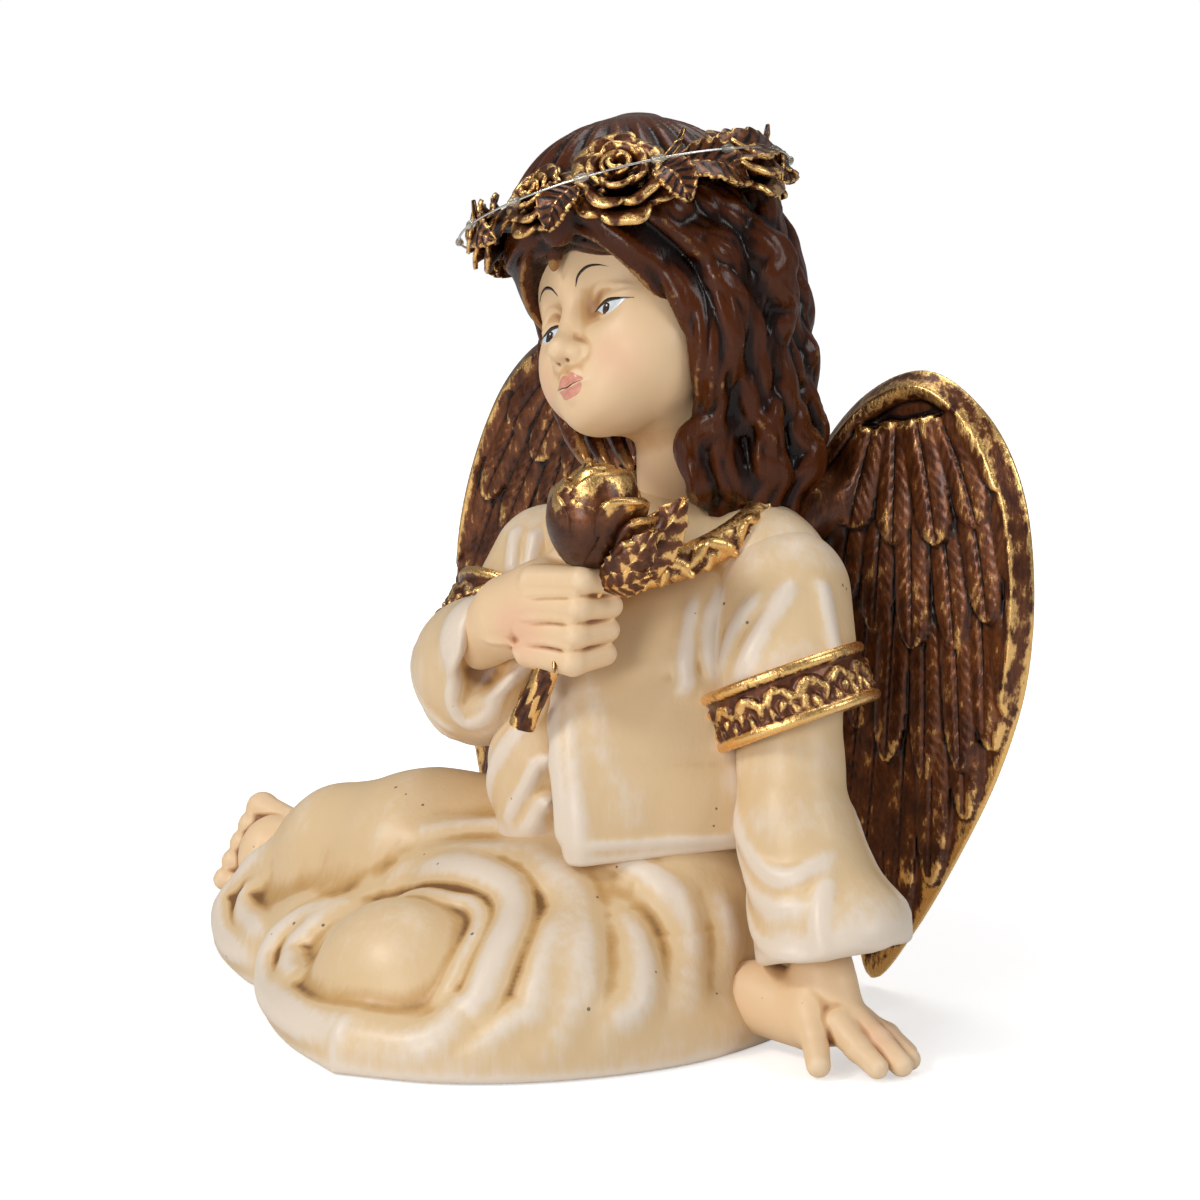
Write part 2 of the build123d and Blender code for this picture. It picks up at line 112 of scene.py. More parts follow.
class Clay:
    """A block of voxels holding the distance to a surface in millimetres, negative inside."""

    def __init__(self, low, high, step):
        self.low = np.asarray(low, float)
        self.step = step * 1.0
        self.count = np.ceil((np.asarray(high) - self.low) / self.step).astype(int) + 1
        self.d = np.full(self.count, FAR, np.float32)

    def part(self, low, high):
        """The slices of a box of voxels, and its three coordinates."""
        a = np.clip(np.floor((np.asarray(low) - self.low) / self.step).astype(int), 0, self.count)
        b = np.clip(np.ceil((np.asarray(high) - self.low) / self.step).astype(int) + 1, 0, self.count)
        axes = [(self.low[k] + self.step * np.arange(a[k], b[k])).astype(np.float32) for k in range(3)]
        x, y, z = axes[0][:, None, None], axes[1][None, :, None], axes[2][None, None, :]
        return tuple(slice(i, j) for i, j in zip(a, b)), x, y, z

    def put(self, where, distance, blend=0, cut=False):
        if cut:
            self.d[where] = -soft_min(-self.d[where], distance, blend)
        else:
            self.d[where] = soft_min(self.d[where], distance, blend)

    def limb(self, a, ra, b, rb, blend=4, cut=False):
        """A tapering limb with round ends."""
        a, b = np.asarray(a, float), np.asarray(b, float)
        reach = max(ra, rb) + blend + 3
        where, x, y, z = self.part(np.minimum(a, b) - reach, np.maximum(a, b) + reach)
        along = b - a
        t = ((x - a[0]) * along[0] + (y - a[1]) * along[1] + (z - a[2]) * along[2]) / along.dot(along)
        t = np.clip(t, 0, 1)
        gap = np.sqrt((x - a[0] - t * along[0]) ** 2 + (y - a[1] - t * along[1]) ** 2
                      + (z - a[2] - t * along[2]) ** 2)
        self.put(where, gap - (ra + t * (rb - ra)), blend, cut)

    def limbs(self, stations, blend=4, cut=False):
        """Limbs through a list of (centre, radius)."""
        for (a, ra), (b, rb) in zip(stations, stations[1:]):
            self.limb(a, ra, b, rb, blend, cut)

    def ball(self, centre, radii, axes=np.eye(3), blend=4, cut=False):
        """An ellipsoid with its half sizes along the columns of axes."""
        radii = np.asarray(radii, float) * np.ones(3)
        reach = radii.max() + blend + 2
        where, x, y, z = self.part(centre - reach * np.ones(3), centre + reach * np.ones(3))
        x, y, z = x - centre[0], y - centre[1], z - centre[2]
        k0 = k1 = 0
        for axis, radius in zip(np.asarray(axes).T, radii):
            share = (x * axis[0] + y * axis[1] + z * axis[2]) / radius
            k0 = k0 + share**2
            k1 = k1 + (share / radius) ** 2
        k0, k1 = np.sqrt(k0), np.sqrt(k1) + 1e-6
        self.put(where, k0 * (k0 - 1) / k1, blend, cut)

    def slab(self, outline, bottom, top, edge, blend=4):
        """A flat plate inside a closed outline of (x, y), with a rounded edge."""
        ring = curve([*outline, outline[0]], 3.0)[:-1]
        low, high = ring.min(axis=0), ring.max(axis=0)
        where, x, y, z = self.part((*(low - edge - blend), bottom - edge - blend),
                                   (*(high + edge + blend), top + edge + blend))
        x2, y2 = x[:, :, 0], y[:, :, 0]
        near = np.full(np.broadcast(x2, y2).shape, 1e9, np.float32)
        inside = np.zeros(near.shape, bool)
        for (ax, ay), (bx, by) in zip(ring, np.roll(ring, -1, axis=0)):
            ex, ey = bx - ax, by - ay
            t = np.clip(((x2 - ax) * ex + (y2 - ay) * ey) / (ex * ex + ey * ey), 0, 1)
            near = np.minimum(near, (x2 - ax - t * ex) ** 2 + (y2 - ay - t * ey) ** 2)
            crosses = ((ay > y2) != (by > y2)) & (x2 < ex * (y2 - ay) / (ey if ey else 1e-9) + ax)
            inside ^= crosses
        side = np.sqrt(near) * np.where(inside, -1, 1)
        side = side[:, :, None] + edge
        level = np.maximum(z - (top - edge), bottom - 30 - z)
        level = np.broadcast_to(level, np.broadcast(side, level).shape)
        distance = (np.sqrt(np.maximum(side, 0) ** 2 + np.maximum(level, 0) ** 2)
                    + np.minimum(np.maximum(side, level), 0) - edge)
        self.put(where, distance, blend)

    def box(self, low, high, blend=0, cut=False):
        """A block with square edges between two corners."""
        where, x, y, z = self.part(np.asarray(low) - 2, np.asarray(high) + 2)
        middle, half = 0.5 * (np.asarray(low) + high), 0.5 * (np.asarray(high) - low)
        gaps = [np.abs(c - m) - h for c, m, h in zip((x, y, z), middle, half)]
        self.put(where, np.maximum(np.maximum(gaps[0], gaps[1]), gaps[2]), blend, cut)

    def half_space(self, point, normal, blend=0):
        """Cuts away what lies on the normal's side of a plane."""
        normal = unit(normal)
        _, x, y, z = self.part(self.low, self.low + self.step * self.count)
        distance = (x - point[0]) * normal[0] + (y - point[1]) * normal[1] + (z - point[2]) * normal[2]
        self.d = -soft_min(-self.d, -distance.astype(np.float32), blend)

    def sample(self, points, field=None):
        """The distance at each of some points."""
        field = self.d if field is None else field
        at = (points - self.low) / self.step
        at = np.clip(at, 0, np.array(field.shape) - 1.001)
        base = np.floor(at).astype(int)
        share = at - base
        total = 0
        for corner in np.ndindex(2, 2, 2):
            weight = np.prod(np.where(corner, share, 1 - share), axis=1)
            index = base + corner
            total = total + weight * field[index[:, 0], index[:, 1], index[:, 2]]
        return total

    def slope(self, points):
        """The outward direction of the surface near each of some points."""
        reach = self.step
        parts = []
        for k in range(3):
            shift = np.eye(3)[k] * reach
            parts.append(self.sample(points + shift) - self.sample(points - shift))
        slope = np.stack(parts, axis=1)
        return slope / (np.linalg.norm(slope, axis=1, keepdims=True) + 1e-9)

    def settle(self, points, steps=6):
        """Moves points onto the surface."""
        points = np.array(points, float)
        for _ in range(steps):
            points = points - self.slope(points) * self.sample(points)[:, None]
        return points

    def stroke(self, points, width, height, profile, ends=FADE):
        """Raises the surface along a curve drawn on it. The profile is the form's section."""
        line = self.settle(curve(points, max(self.step, 0.6 * width)))
        share = np.linspace(0, 1, len(line))
        first_end, last_end = (max(end, 1e-3) for end in ends)
        rise = np.clip(share / first_end, 0, 1) * np.clip((1 - share) / last_end, 0, 1)
        rise = np.sin(rise * np.pi / 2) if any(ends) else np.ones_like(share)
        reach = width * 1.8 + self.step
        where, x, y, z = self.part(line.min(axis=0) - reach, line.max(axis=0) + reach)
        change = np.zeros(self.d[where].shape, np.float32)
        first = np.array([s.start for s in where])
        for a, b, ha, hb in zip(line, line[1:], rise, rise[1:]):
            spot, x, y, z = self.part(np.minimum(a, b) - reach, np.maximum(a, b) + reach)
            inner = tuple(slice(s.start - f, s.stop - f) for s, f in zip(spot, first))
            along = b - a
            t = ((x - a[0]) * along[0] + (y - a[1]) * along[1] + (z - a[2]) * along[2])
            t = np.clip(t / (along.dot(along) + 1e-9), 0, 1)
            gap = np.sqrt((x - a[0] - t * along[0]) ** 2 + (y - a[1] - t * along[1]) ** 2
                          + (z - a[2] - t * along[2]) ** 2) / width
            if profile == "ridge":
                form = np.exp(-1.6 * gap**2)
            elif profile == "rope":
                form = np.maximum(1 - 0.55 * gap**2, 0) ** 2
            else:
                form = np.maximum(1 - gap / 1.6, 0) ** 1.8
            form = form * (ha + t * (hb - ha))
            np.maximum(change[inner], form, out=change[inner])
        self.d[where] -= height * change

    def ridge(self, points, width, height, ends=FADE):
        """A stroke with a soft, round section."""
        self.stroke(points, width, height, "ridge", ends)

    def rope(self, points, width, height, ends=FADE):
        """A stroke with a full, flat-topped section that ends sooner at its sides."""
        self.stroke(points, width, height, "rope", ends)

    def pleat(self, points, width, height, ends=FADE):
        """A stroke with a sharp top, whose flanks curve inwards."""
        self.stroke(points, width, height, "pleat", ends)

    def blurred(self, radius):
        """The distances, blurred twice over cubes of voxels."""
        field = self.d
        half = max(int(round(radius / self.step)), 1)
        for _ in range(2):
            for axis in range(3):
                pad = [(half + 1, half) if k == axis else (0, 0) for k in range(3)]
                total = np.cumsum(np.pad(field, pad, mode="edge"), axis=axis, dtype=np.float64)
                size = field.shape[axis]
                upper = np.take(total, np.arange(2 * half + 1, 2 * half + 1 + size), axis=axis)
                lower = np.take(total, np.arange(size), axis=axis)
                field = ((upper - lower) / (2 * half + 1)).astype(np.float32)
        return field

    def mesh(self, name):
        """A piece with the clay's surface. It stores how hollow or raised each point is."""
        grid = openvdb.FloatGrid(FAR)
        grid.copyFromArray(np.ascontiguousarray(self.d))
        points, quads = grid.convertToQuads(isovalue=0.0)
        points = points.astype(float) * self.step + self.low
        for _ in range(RELAX_ROUNDS):
            points = relaxed(points, quads)
            points -= self.slope(points) * self.sample(points)[:, None]
        marks = {}
        for label, radius in SHADE_REACH.items():
            rise = self.sample(points, self.blurred(radius)) - self.sample(points)
            marks[label] = rise / radius
        return make_mesh(name, points, quads[:, ::-1], marks)


def relaxed(points, quads, share=0.5):
    """Points moved towards the middle of their neighbours."""
    total = np.zeros_like(points)
    number = np.zeros(len(points))
    for k in range(4):
        a, b = quads[:, k], quads[:, (k + 1) % 4]
        for i, j in ((a, b), (b, a)):
            for axis in range(3):
                total[:, axis] += np.bincount(i, points[j, axis], len(points))
            number += np.bincount(i, minlength=len(points))
    middle = total / np.maximum(number, 1)[:, None]
    return points + (middle - points) * share


def make_mesh(name, points, faces, marks=None):
    """A Blender object from points in millimetres, with marks stored on its points."""
    mesh = bpy.data.meshes.new(name)
    faces = np.asarray(faces)
    corners = faces.shape[1]
    mesh.vertices.add(len(points))
    mesh.vertices.foreach_set("co", (np.asarray(points) * MM).astype(np.float32).ravel())
    mesh.loops.add(faces.size)
    mesh.loops.foreach_set("vertex_index", faces.astype(np.int32).ravel())
    mesh.polygons.add(len(faces))
    mesh.polygons.foreach_set("loop_start", np.arange(0, faces.size, corners, dtype=np.int32))
    mesh.update(calc_edges=True)
    mesh.validate()
    mesh.polygons.foreach_set("use_smooth", np.ones(len(mesh.polygons), bool))
    for label, values in (marks or {}).items():
        layer = mesh.attributes.new(label, "FLOAT", "POINT")
        layer.data.foreach_set("value", np.asarray(values, np.float32))
    piece = bpy.data.objects.new(name, mesh)
    bpy.context.collection.objects.link(piece)
    return piece


# ---- Robe: skirt over the folded legs, tunic and sleeves -----------------------------------------
HEM_OUTLINE = [
    (-6, -102), (20, -91), (40, -72), (55, -44), (59, -18), (56, 12), (45, 36), (20, 48),
    (-15, 48), (-48, 38), (-88, 18), (-116, 0), (-126, -24), (-112, -41), (-84, -57), (-72, -59),
    (-61, -73), (-34, -91),
]


def skirt_clay(step=0.95):
    clay = Clay((-136, -112, -4), (70, 58, 80), step)
    clay.slab(HEM_OUTLINE, 0, 15, 10)
    clay.ball((2, 8, 24), (52, 42, 32), blend=14)
    clay.ball((8, -36, 16), (42, 44, 22), blend=12)
    clay.limbs([((22, -10, 28), 27), ((-8, -50, 18), 19)], blend=10)
    clay.limbs([((-12, -69, 12), 18), ((-62, -46, 11), 15), ((-112, -26, 9), 9)], blend=10)
    clay.limbs([((-6, 4, 30), 27), ((-50, -21, 31), 25), ((-76, -25, 31), 18),
                ((-96, -24, 22), 14)], blend=9)
    clay.ball((-7, -28, 30), (30, 24, 17), blend=12)
    # the cloth drawn tight over the left knee
    clay.ball((-12, -70, 12), (26, 21, 25), blend=3)
    return clay


def draw_skirt_folds(clay):
    # the rolled fold that goes round the left knee, with its inner and outer lips
    clay.rope([(-48, -46, 27), (-34, -47, 33), (-17, -49, 38), (1, -52, 41), (11, -55, 38),
               (17, -62, 27), (19, -72, 16), (17, -84, 10), (8, -94, 7)], 5.4, 4.4, (0.3, 0.4))
    clay.pleat([(-42, -51, 28), (-24, -57, 34), (-8, -61, 37), (3, -61, 37), (9, -64, 32),
                (12, -72, 21), (11, -84, 12)], 2.6, 4.2, (0.25, 0.4))
    clay.pleat([(22, -50, 39), (26, -58, 26), (29, -70, 13), (24, -84, 8)], 4.4, 3.8, (0.25, 0.4))
    # the folds that fan from the lap down to the hem
    clay.rope([(4, -42, 47), (16, -45, 45), (27, -48, 37), (33, -56, 24), (37, -66, 13), (36, -74, 8)],
                6.2, 2.8, (0.3, 0.45))
    clay.pleat([(32, -40, 38), (39, -42, 27), (43, -50, 15), (41, -60, 9)], 5.2, 4.2, (0.3, 0.4))
    clay.rope([(30, -32, 45), (42, -29, 37), (49, -31, 25), (52, -40, 13)], 6.0, 2.4, (0.3, 0.45))
    clay.pleat([(22, -33, 48), (34, -30, 44), (41, -27, 38)], 3.0, 2.8, (0.3, 0.3))
    clay.pleat([(48, -18, 38), (54, -19, 27), (57, -26, 14)], 4.6, 3.0, (0.3, 0.4))
    # the folds between the two legs
    clay.pleat([(-64, -66, 10), (-50, -62, 20), (-40, -50, 28), (-26, -44, 37), (-8, -44, 44),
                (6, -40, 49)], 6.0, 4.5, (0.2, 0.3))
    clay.ridge([(-40, -38, 42), (-22, -32, 47), (-8, -30, 52)], 4.5, 2.4, (0.4, 0.3))
    # the hem that turns up beside the left foot
    clay.rope([(-92, -39, 34), (-106, -36, 24), (-112, -38, 14), (-98, -48, 8), (-76, -57, 9)],
                5.0, 4.4, (0.3, 0.3))
    clay.pleat([(-92, -42, 28), (-99, -42, 20), (-94, -46, 15), (-84, -51, 14), (-70, -56, 14)],
               3.8, 5.0, (0.3, 0.3))
    # the swirl of cloth in front of the knee
    clay.rope([(-46, -54, 25), (-57, -62, 20), (-61, -70, 13), (-54, -80, 9), (-38, -89, 9),
               (-20, -95, 9), (-4, -96, 10)], 5.4, 4.4, (0.3, 0.4))
    clay.pleat([(-47, -60, 22), (-50, -68, 17), (-45, -76, 13), (-36, -82, 11)], 4.4, 6.0, (0.3, 0.4))
    # pairs of folds behind and beside the hips
    for offset in (-34, -14, 8, 28):
        clay.ridge([(offset, 44, 44), (offset * 1.15, 50, 26), (offset * 1.5, 50, 6)], 6.0, 2.6)
        clay.pleat([(offset + 10, 42, 40), (offset * 1.15 + 11, 48, 22), (offset * 1.5 + 13, 48, 8)],
                    4.0, 2.6)
    clay.ridge([(-56, 6, 48), (-72, 8, 34), (-88, 10, 16)], 5.0, 2.6)
    clay.pleat([(-50, 16, 42), (-66, 20, 26), (-78, 22, 10)], 4.5, 2.8)
    clay.half_space((0, 0, 0.2), (0, 0, -1), 1.5)


def tunic_clay(step=0.75):
    clay = Clay((-70, -60, 36), (92, 50, 142), step)
    clay.limbs([((6, 12, 112), 24), ((5, 6, 84), 27)], blend=8)
    clay.ball((5, 4, 60), (34, 30, 26), blend=14)
    clay.limbs([((-32, 16, 115), 14), ((40, 16, 115), 14)], blend=8)
    clay.limbs([((-16, 18, 119), 14), ((31, 17, 120), 14)], blend=8)
    clay.limbs([((8, 18, 124), 14), ((7, 19, 131), 11)], blend=6)
    clay.limbs([((-4, -16, 88), 10), ((-8, -22, 66), 12), ((-6, -24, 50), 12)], blend=8)
    # the chest's flat front panel hangs from the collar over the lap
    left_edge = curve([(1, -18, 102), (5, -24, 92), (13, -33, 76), (19, -38.5, 60),
                       (21, -39.5, 44)], 2.5)
    right_edge = curve([(30, 2, 112), (35, -4, 96), (38, -7, 78), (41, -7, 60), (42, -7, 44)], 2.5)
    for share in np.linspace(0, 1, 26):
        a, b = (edge[int(share * (len(edge) - 1))] for edge in (left_edge, right_edge))
        clay.limb(a, 4.6, b, 5.0, blend=2.5)
    clay.half_space((4, 0, 48), (0, 0.06, -1), 2)
    return clay


def draw_tunic_folds(clay):
    # the front panel's edge and hem
    clay.pleat([(2, -30, 90), (9, -36, 78), (14, -42, 64), (16, -44, 52)], 2.6, 2.8, (0.4, 0))
    clay.ridge([(24, -42, 51), (33, -26, 51), (44, -9, 51)], 1.6, 0.8, (0.1, 0.1))
    clay.ridge([(12, -28, 94), (22, -32, 72), (30, -30, 54)], 6.0, 0.8)
    # the under flap's long fold
    clay.ridge([(8, -34, 84), (4, -37, 70), (-8, -36, 52)], 2.4, 1.6, (0.2, 0.1))
    clay.pleat([(11, -38, 74), (8, -40, 62), (2, -41, 50)], 3.0, 2.6, (0.3, 0.1))
    clay.pleat([(0, -28, 88), (-8, -32, 72), (-18, -29, 52)], 2.6, 2.4, (0.3, 0.2))
    # armpit folds
    clay.pleat([(33, 1, 112), (34, -4, 102), (38, -9, 90)], 2.4, 3.4, (0.3, 0.3))
    clay.ridge([(29, -3, 110), (30, -8, 98), (31, -12, 84)], 3.0, 1.8, (0.3, 0.4))
    # folds down the back
    for offset in (-16, 2, 20):
        clay.ridge([(offset, 38, 108), (offset * 1.2, 34, 84), (offset * 1.6, 34, 54)], 4.5, 1.8)
        clay.pleat([(offset + 8, 36, 104), (offset * 1.2 + 9, 33, 80), (offset * 1.6 + 11, 33, 52)],
                    3.4, 2.0)


def left_arm_clay(step=0.7):
    clay = Clay((20, -45, 8), (108, 40, 140), step)
    clay.limbs([((43, 14, 110), 17.5), ((53, 3, 91), 18)], blend=6)
    clay.half_space((53.6, 3.2, 82), (0.42, 0.06, -1), 1)
    clay.limbs([((53, 3, 92), 14), ((57, -1, 70), 13), ((62, -5, 54), 14), ((75, -9, 27), 18.5)],
               blend=3)
    clay.ball((84, -8, 32), (10, 14, 10), blend=8)
    clay.half_space((75, -9, 25), (0.3, -0.1, -1), 2)
    # the cuff's opening round the wrist
    clay.limb((75, -9, 27), 12, (80, -11, 8), 15, blend=2, cut=True)
    return clay


def draw_left_arm_folds(clay):
    clay.pleat([(36, -2, 112), (38, -6, 102), (42, -11, 92)], 2.2, 2.6, (0.3, 0.3))
    clay.pleat([(50, -3, 112), (46, -8, 104), (43, -13, 94)], 3.0, 2.4, (0.4, 0.3))
    clay.ridge([(56, 0, 116), (54, -8, 104), (52, -13, 92)], 3.4, 1.6)
    clay.ridge([(60, 8, 116), (68, 2, 102), (71, 0, 90)], 3.0, 1.5)
    clay.ridge([(44, -7, 64), (52, -17, 55), (62, -21, 48), (72, -20, 46), (79, -12, 52)],
                3.2, 1.9, (0.3, 0.3))
    clay.pleat([(46, -10, 54), (56, -20, 44), (68, -24, 39), (80, -20, 40)], 3.4, 1.8, (0.3, 0.3))
    clay.ridge([(84, -23, 30), (82, -22, 38), (79, -15, 48)], 3.0, 1.6, (0.2, 0.4))
    clay.ridge([(48, -12, 40), (58, -23, 32), (72, -28, 29), (86, -22, 29), (94, -10, 32)],
                2.0, 1.4, (0.1, 0.1))
    clay.ridge([(72, 10, 60), (84, 8, 44), (92, 4, 36)], 3.6, 1.8)
    clay.pleat([(66, 12, 56), (74, 10, 42), (80, 8, 34)], 3.6, 2.2)


def right_arm_clay(step=0.7):
    clay = Clay((-80, -62, 44), (8, 42, 140), step)
    clay.limbs([((-36, 15, 111), 17), ((-41, -5, 84), 15)], blend=6)
    clay.limbs([((-41, -7, 82), 15), ((-30, -21, 89), 16), ((-17, -32, 97), 13)], blend=8)
    clay.limbs([((-38, -13, 77), 11), ((-23, -26, 81), 9.5)], blend=8)
    # the hanging cuff is open towards the front
    clay.limbs([((-9, -37, 100), 9), ((-13, -40, 90), 6.5), ((-19, -41, 82), 3.5)], blend=2, cut=True)
    return clay


def draw_right_arm_folds(clay):
    clay.ridge([(-13, -36, 110), (-17, -40, 104), (-17, -43, 96), (-20, -44, 88), (-24, -42, 80),
                 (-22, -38, 74), (-15, -36, 76), (-10, -35, 83), (-6, -35, 92)], 2.2, 2.0, (0.1, 0.1))
    clay.pleat([(-38, 2, 122), (-34, -4, 112)], 2.2, 2.6)
    clay.pleat([(-31, 2, 122), (-29, -3, 113)], 2.2, 2.6)
    clay.ridge([(-46, -14, 92), (-44, -20, 80), (-36, -24, 70)], 3.4, 1.8)
    clay.pleat([(-38, -24, 92), (-36, -28, 82), (-30, -31, 74)], 3.0, 1.8)
    clay.ridge([(-54, 0, 92), (-52, -10, 80), (-44, -16, 68)], 3.6, 1.8)


# ---- Head: the face leans to the figure's right and turns a little that way ----------------------
class Place:
    """A local frame: x to the figure's left, y forward out of the face, z up."""

    def __init__(self, origin, turned):
        self.origin = np.asarray(origin, float)
        self.axes = turned @ np.diag([1.0, -1.0, 1.0])

    def out(self, points):
        return np.asarray(points, float) @ self.axes.T + self.origin

    def into(self, points):
        return (np.asarray(points, float) - self.origin) @ self.axes


HEAD_YAW, HEAD_ROLL, HEAD_PITCH = -8.0, -20.5, -9.0
HEAD = Place((3.4, 9, 177.4), turn("z", HEAD_YAW) @ turn("y", HEAD_ROLL) @ turn("x", HEAD_PITCH))
EYE_X = 11.2


def head_clay(step=0.5):
    clay = Clay((-32, -38, 122), (46, 40, 214), step)

    def ball(centre, radii, blend, cut=False):
        clay.ball(HEAD.out(centre), radii, HEAD.axes, blend, cut)

    def limb(a, ra, b, rb, blend, cut=False):
        clay.limb(HEAD.out(a), ra, HEAD.out(b), rb, blend, cut)

    ball((-0.5, -3, 13), (29, 30, 31), 2)
    ball((0, 9, -9), (23.5, 19, 20), 8)
    ball((0, 8, 14), (24.5, 19, 19), 6)
    for side in (-1, 1):
        ball((side * 11, 13.5, -10.5), (11, 12, 12.5), 8)
    ball((0, 21.5, -24.5), (8, 7, 6), 8)
    clay.limb((8, 20, 124), 14, HEAD.out((1, -6, -22)), 12, 6)
    # eye hollows, lids and brow
    for side in (-1, 1):
        ball((side * 9.6, 29.5, 0.6), (6.6, 6.2, 4.6), 5, cut=True)
        ball((side * EYE_X, 17.2, 0.4), (6.4, 6.4, 5.6), 2.5)
    # nose
    limb((0, 24.6, 3), 2.2, (0, 31.0, -8.6), 2.6, 4)
    ball((0, 31.8, -9.8), (3.3, 3.2, 3.0), 2.5)
    for side in (-1, 1):
        ball((side * 3.2, 29.2, -11.1), (2.1, 2.8, 2.1), 1.6)
        ball((side * 1.7, 31.0, -13.0), (0.9, 1.2, 0.8), 0.6, cut=True)
    # mouth
    ball((0, 19.4, -18), (11.5, 9.8, 9.5), 6)
    for side in (-1, 1):
        limb((side * 5.6, 25.6, -18.6), 1.1, (side * 2.0, 28.7, -17.5), 1.8, 1.5)
        limb((side * 2.0, 28.7, -17.5), 1.8, (0, 28.4, -18.1), 1.5, 1.2)
        limb((side * 3.6, 27.0, -21.2), 1.3, (0, 28.6, -21.6), 2.1, 1.5)
    return clay


def draw_face_lines(clay):
    def stroke(points, *form, **more):
        clay.stroke([HEAD.out(point) for point in points], *form, **more)

    stroke([(-5.8, 26.5, -19.2), (-2.5, 29.8, -19.0), (0, 30, -19.7), (2.5, 29.8, -19.0),
            (5.8, 26.5, -19.2)], 0.9, 1.1, "pleat", ends=(0.2, 0.2))
    for side in (-1, 1):
        # the fold above the lid and the heavy lid's lower edge
        stroke([(side * 5.4, 24, 1.6), (side * 8.4, 24.5, 4.4), (side * 12.6, 23.5, 4.6),
                (side * 17.2, 18.5, 1.8)], 0.8, 0.55, "pleat", ends=(0.3, 0.3))
        stroke([(side * 6.6, 24, -0.4), (side * 9.6, 25, 1.1), (side * 13.4, 23.5, 1.3),
                (side * 17.0, 19, 0.9)], 0.7, 0.5, "ridge", ends=(0.3, 0.3))
        stroke([(side * 7.0, 24, -1.8), (side * 10.6, 24.6, -3.6), (side * 14.6, 22, -2.6)],
               0.8, 0.35, "ridge", ends=(0.4, 0.4))
        stroke([(side * 5.0, 29.6, -9.4), (side * 6.0, 28.0, -11.6), (side * 5.0, 28.4, -13.2)],
               0.8, 0.6, "pleat", ends=(0.4, 0.4))


# ---- Hair: wavy locks laid over a smooth mass, parted by the wreath ------------------------------
# points down the middle of the mass of hair, which angles are measured about
HAIR_AXIS = [(-2, 12, 226), (-1, 12, 198), (4, 20, 176), (9, 26, 156), (12, 28, 138)]


def hair_mass(clay):
    clay.ball((-2, 10.5, 198), (33.5, 34, 33), blend=1)
    clay.limbs([((4, 23, 186), 26), ((8, 28, 162), 21), ((11, 30, 144), 16)], blend=8)
    clay.limbs([((14, 14, 186), 18.5), ((18, 19, 160), 17), ((23, 22, 143), 15.5),
                ((25, 24, 131), 13)], blend=8)
    clay.limbs([((-18, 14, 184), 15), ((-22, 18, 162), 11), ((-24, 22, 150), 7)], blend=6)


def lock(clay, points, radii, strands, flat=0.7, groove=0.8, sink=0.35, blend=1.2, loose=False):
    """A lock of hair laid on the surface, its section a flattened oval cut into strands."""
    line = curve(points, 1.6)
    if not loose:
        line = clay.settle(line)
    line[1:-1] = 0.25 * line[:-2] + 0.5 * line[1:-1] + 0.25 * line[2:]
    up = clay.slope(line)
    radius = curve([(r,) for r in radii], max(sum(np.abs(np.diff(radii))) / 200, 0.01))[:, 0]
    radius = np.interp(np.linspace(0, 1, len(line)), np.linspace(0, 1, len(radius)), radius)
    line = line - up * (radius * flat * sink)[:, None]
    run = 0.0
    for a, b, n, ra, rb in zip(line, line[1:], up, radius, radius[1:]):
        along = b - a
        length = np.linalg.norm(along)
        if length < 1e-6:
            continue
        across = np.cross(along, n)
        across = across / (np.linalg.norm(across) + 1e-9)
        above = np.cross(across, along) / length
        reach = max(ra, rb) + blend + 1.5
        where, x, y, z = clay.part(np.minimum(a, b) - reach, np.maximum(a, b) + reach)
        x, y, z = x - a[0], y - a[1], z - a[2]
        t = np.clip((x * along[0] + y * along[1] + z * along[2]) / length**2, 0, 1)
        r = ra + t * (rb - ra)
        x, y, z = x - t * along[0], y - t * along[1], z - t * along[2]
        side = (x * across[0] + y * across[1] + z * across[2]) / r
        rise = (x * above[0] + y * above[1] + z * above[2]) / (r * flat)
        ahead = (x * along[0] + y * along[1] + z * along[2]) / (length * r)
        size = np.sqrt(side**2 + rise**2 + ahead**2) + 1e-6
        angle = np.arctan2(rise, side) + 0.035 * (run + t * length)
        teeth = np.abs(np.sin(0.5 * strands * angle)) ** 0.6
        distance = (size - 1) * r * flat + groove * (1 - teeth) * np.minimum(r / 4, 1)
        clay.put(where, distance.astype(np.float32), blend)
        run += length


def round_axis(angle, height, out=50.0):
    """A point beside the hair's own axis, at an angle from the figure's left round to its back."""
    levels = np.array(HAIR_AXIS, float)[::-1]
    x, y = (np.interp(height, levels[:, 2], levels[:, k]) for k in (0, 1))
    return v3(x + out * math.cos(math.radians(angle)), y + out * math.sin(math.radians(angle)), height)


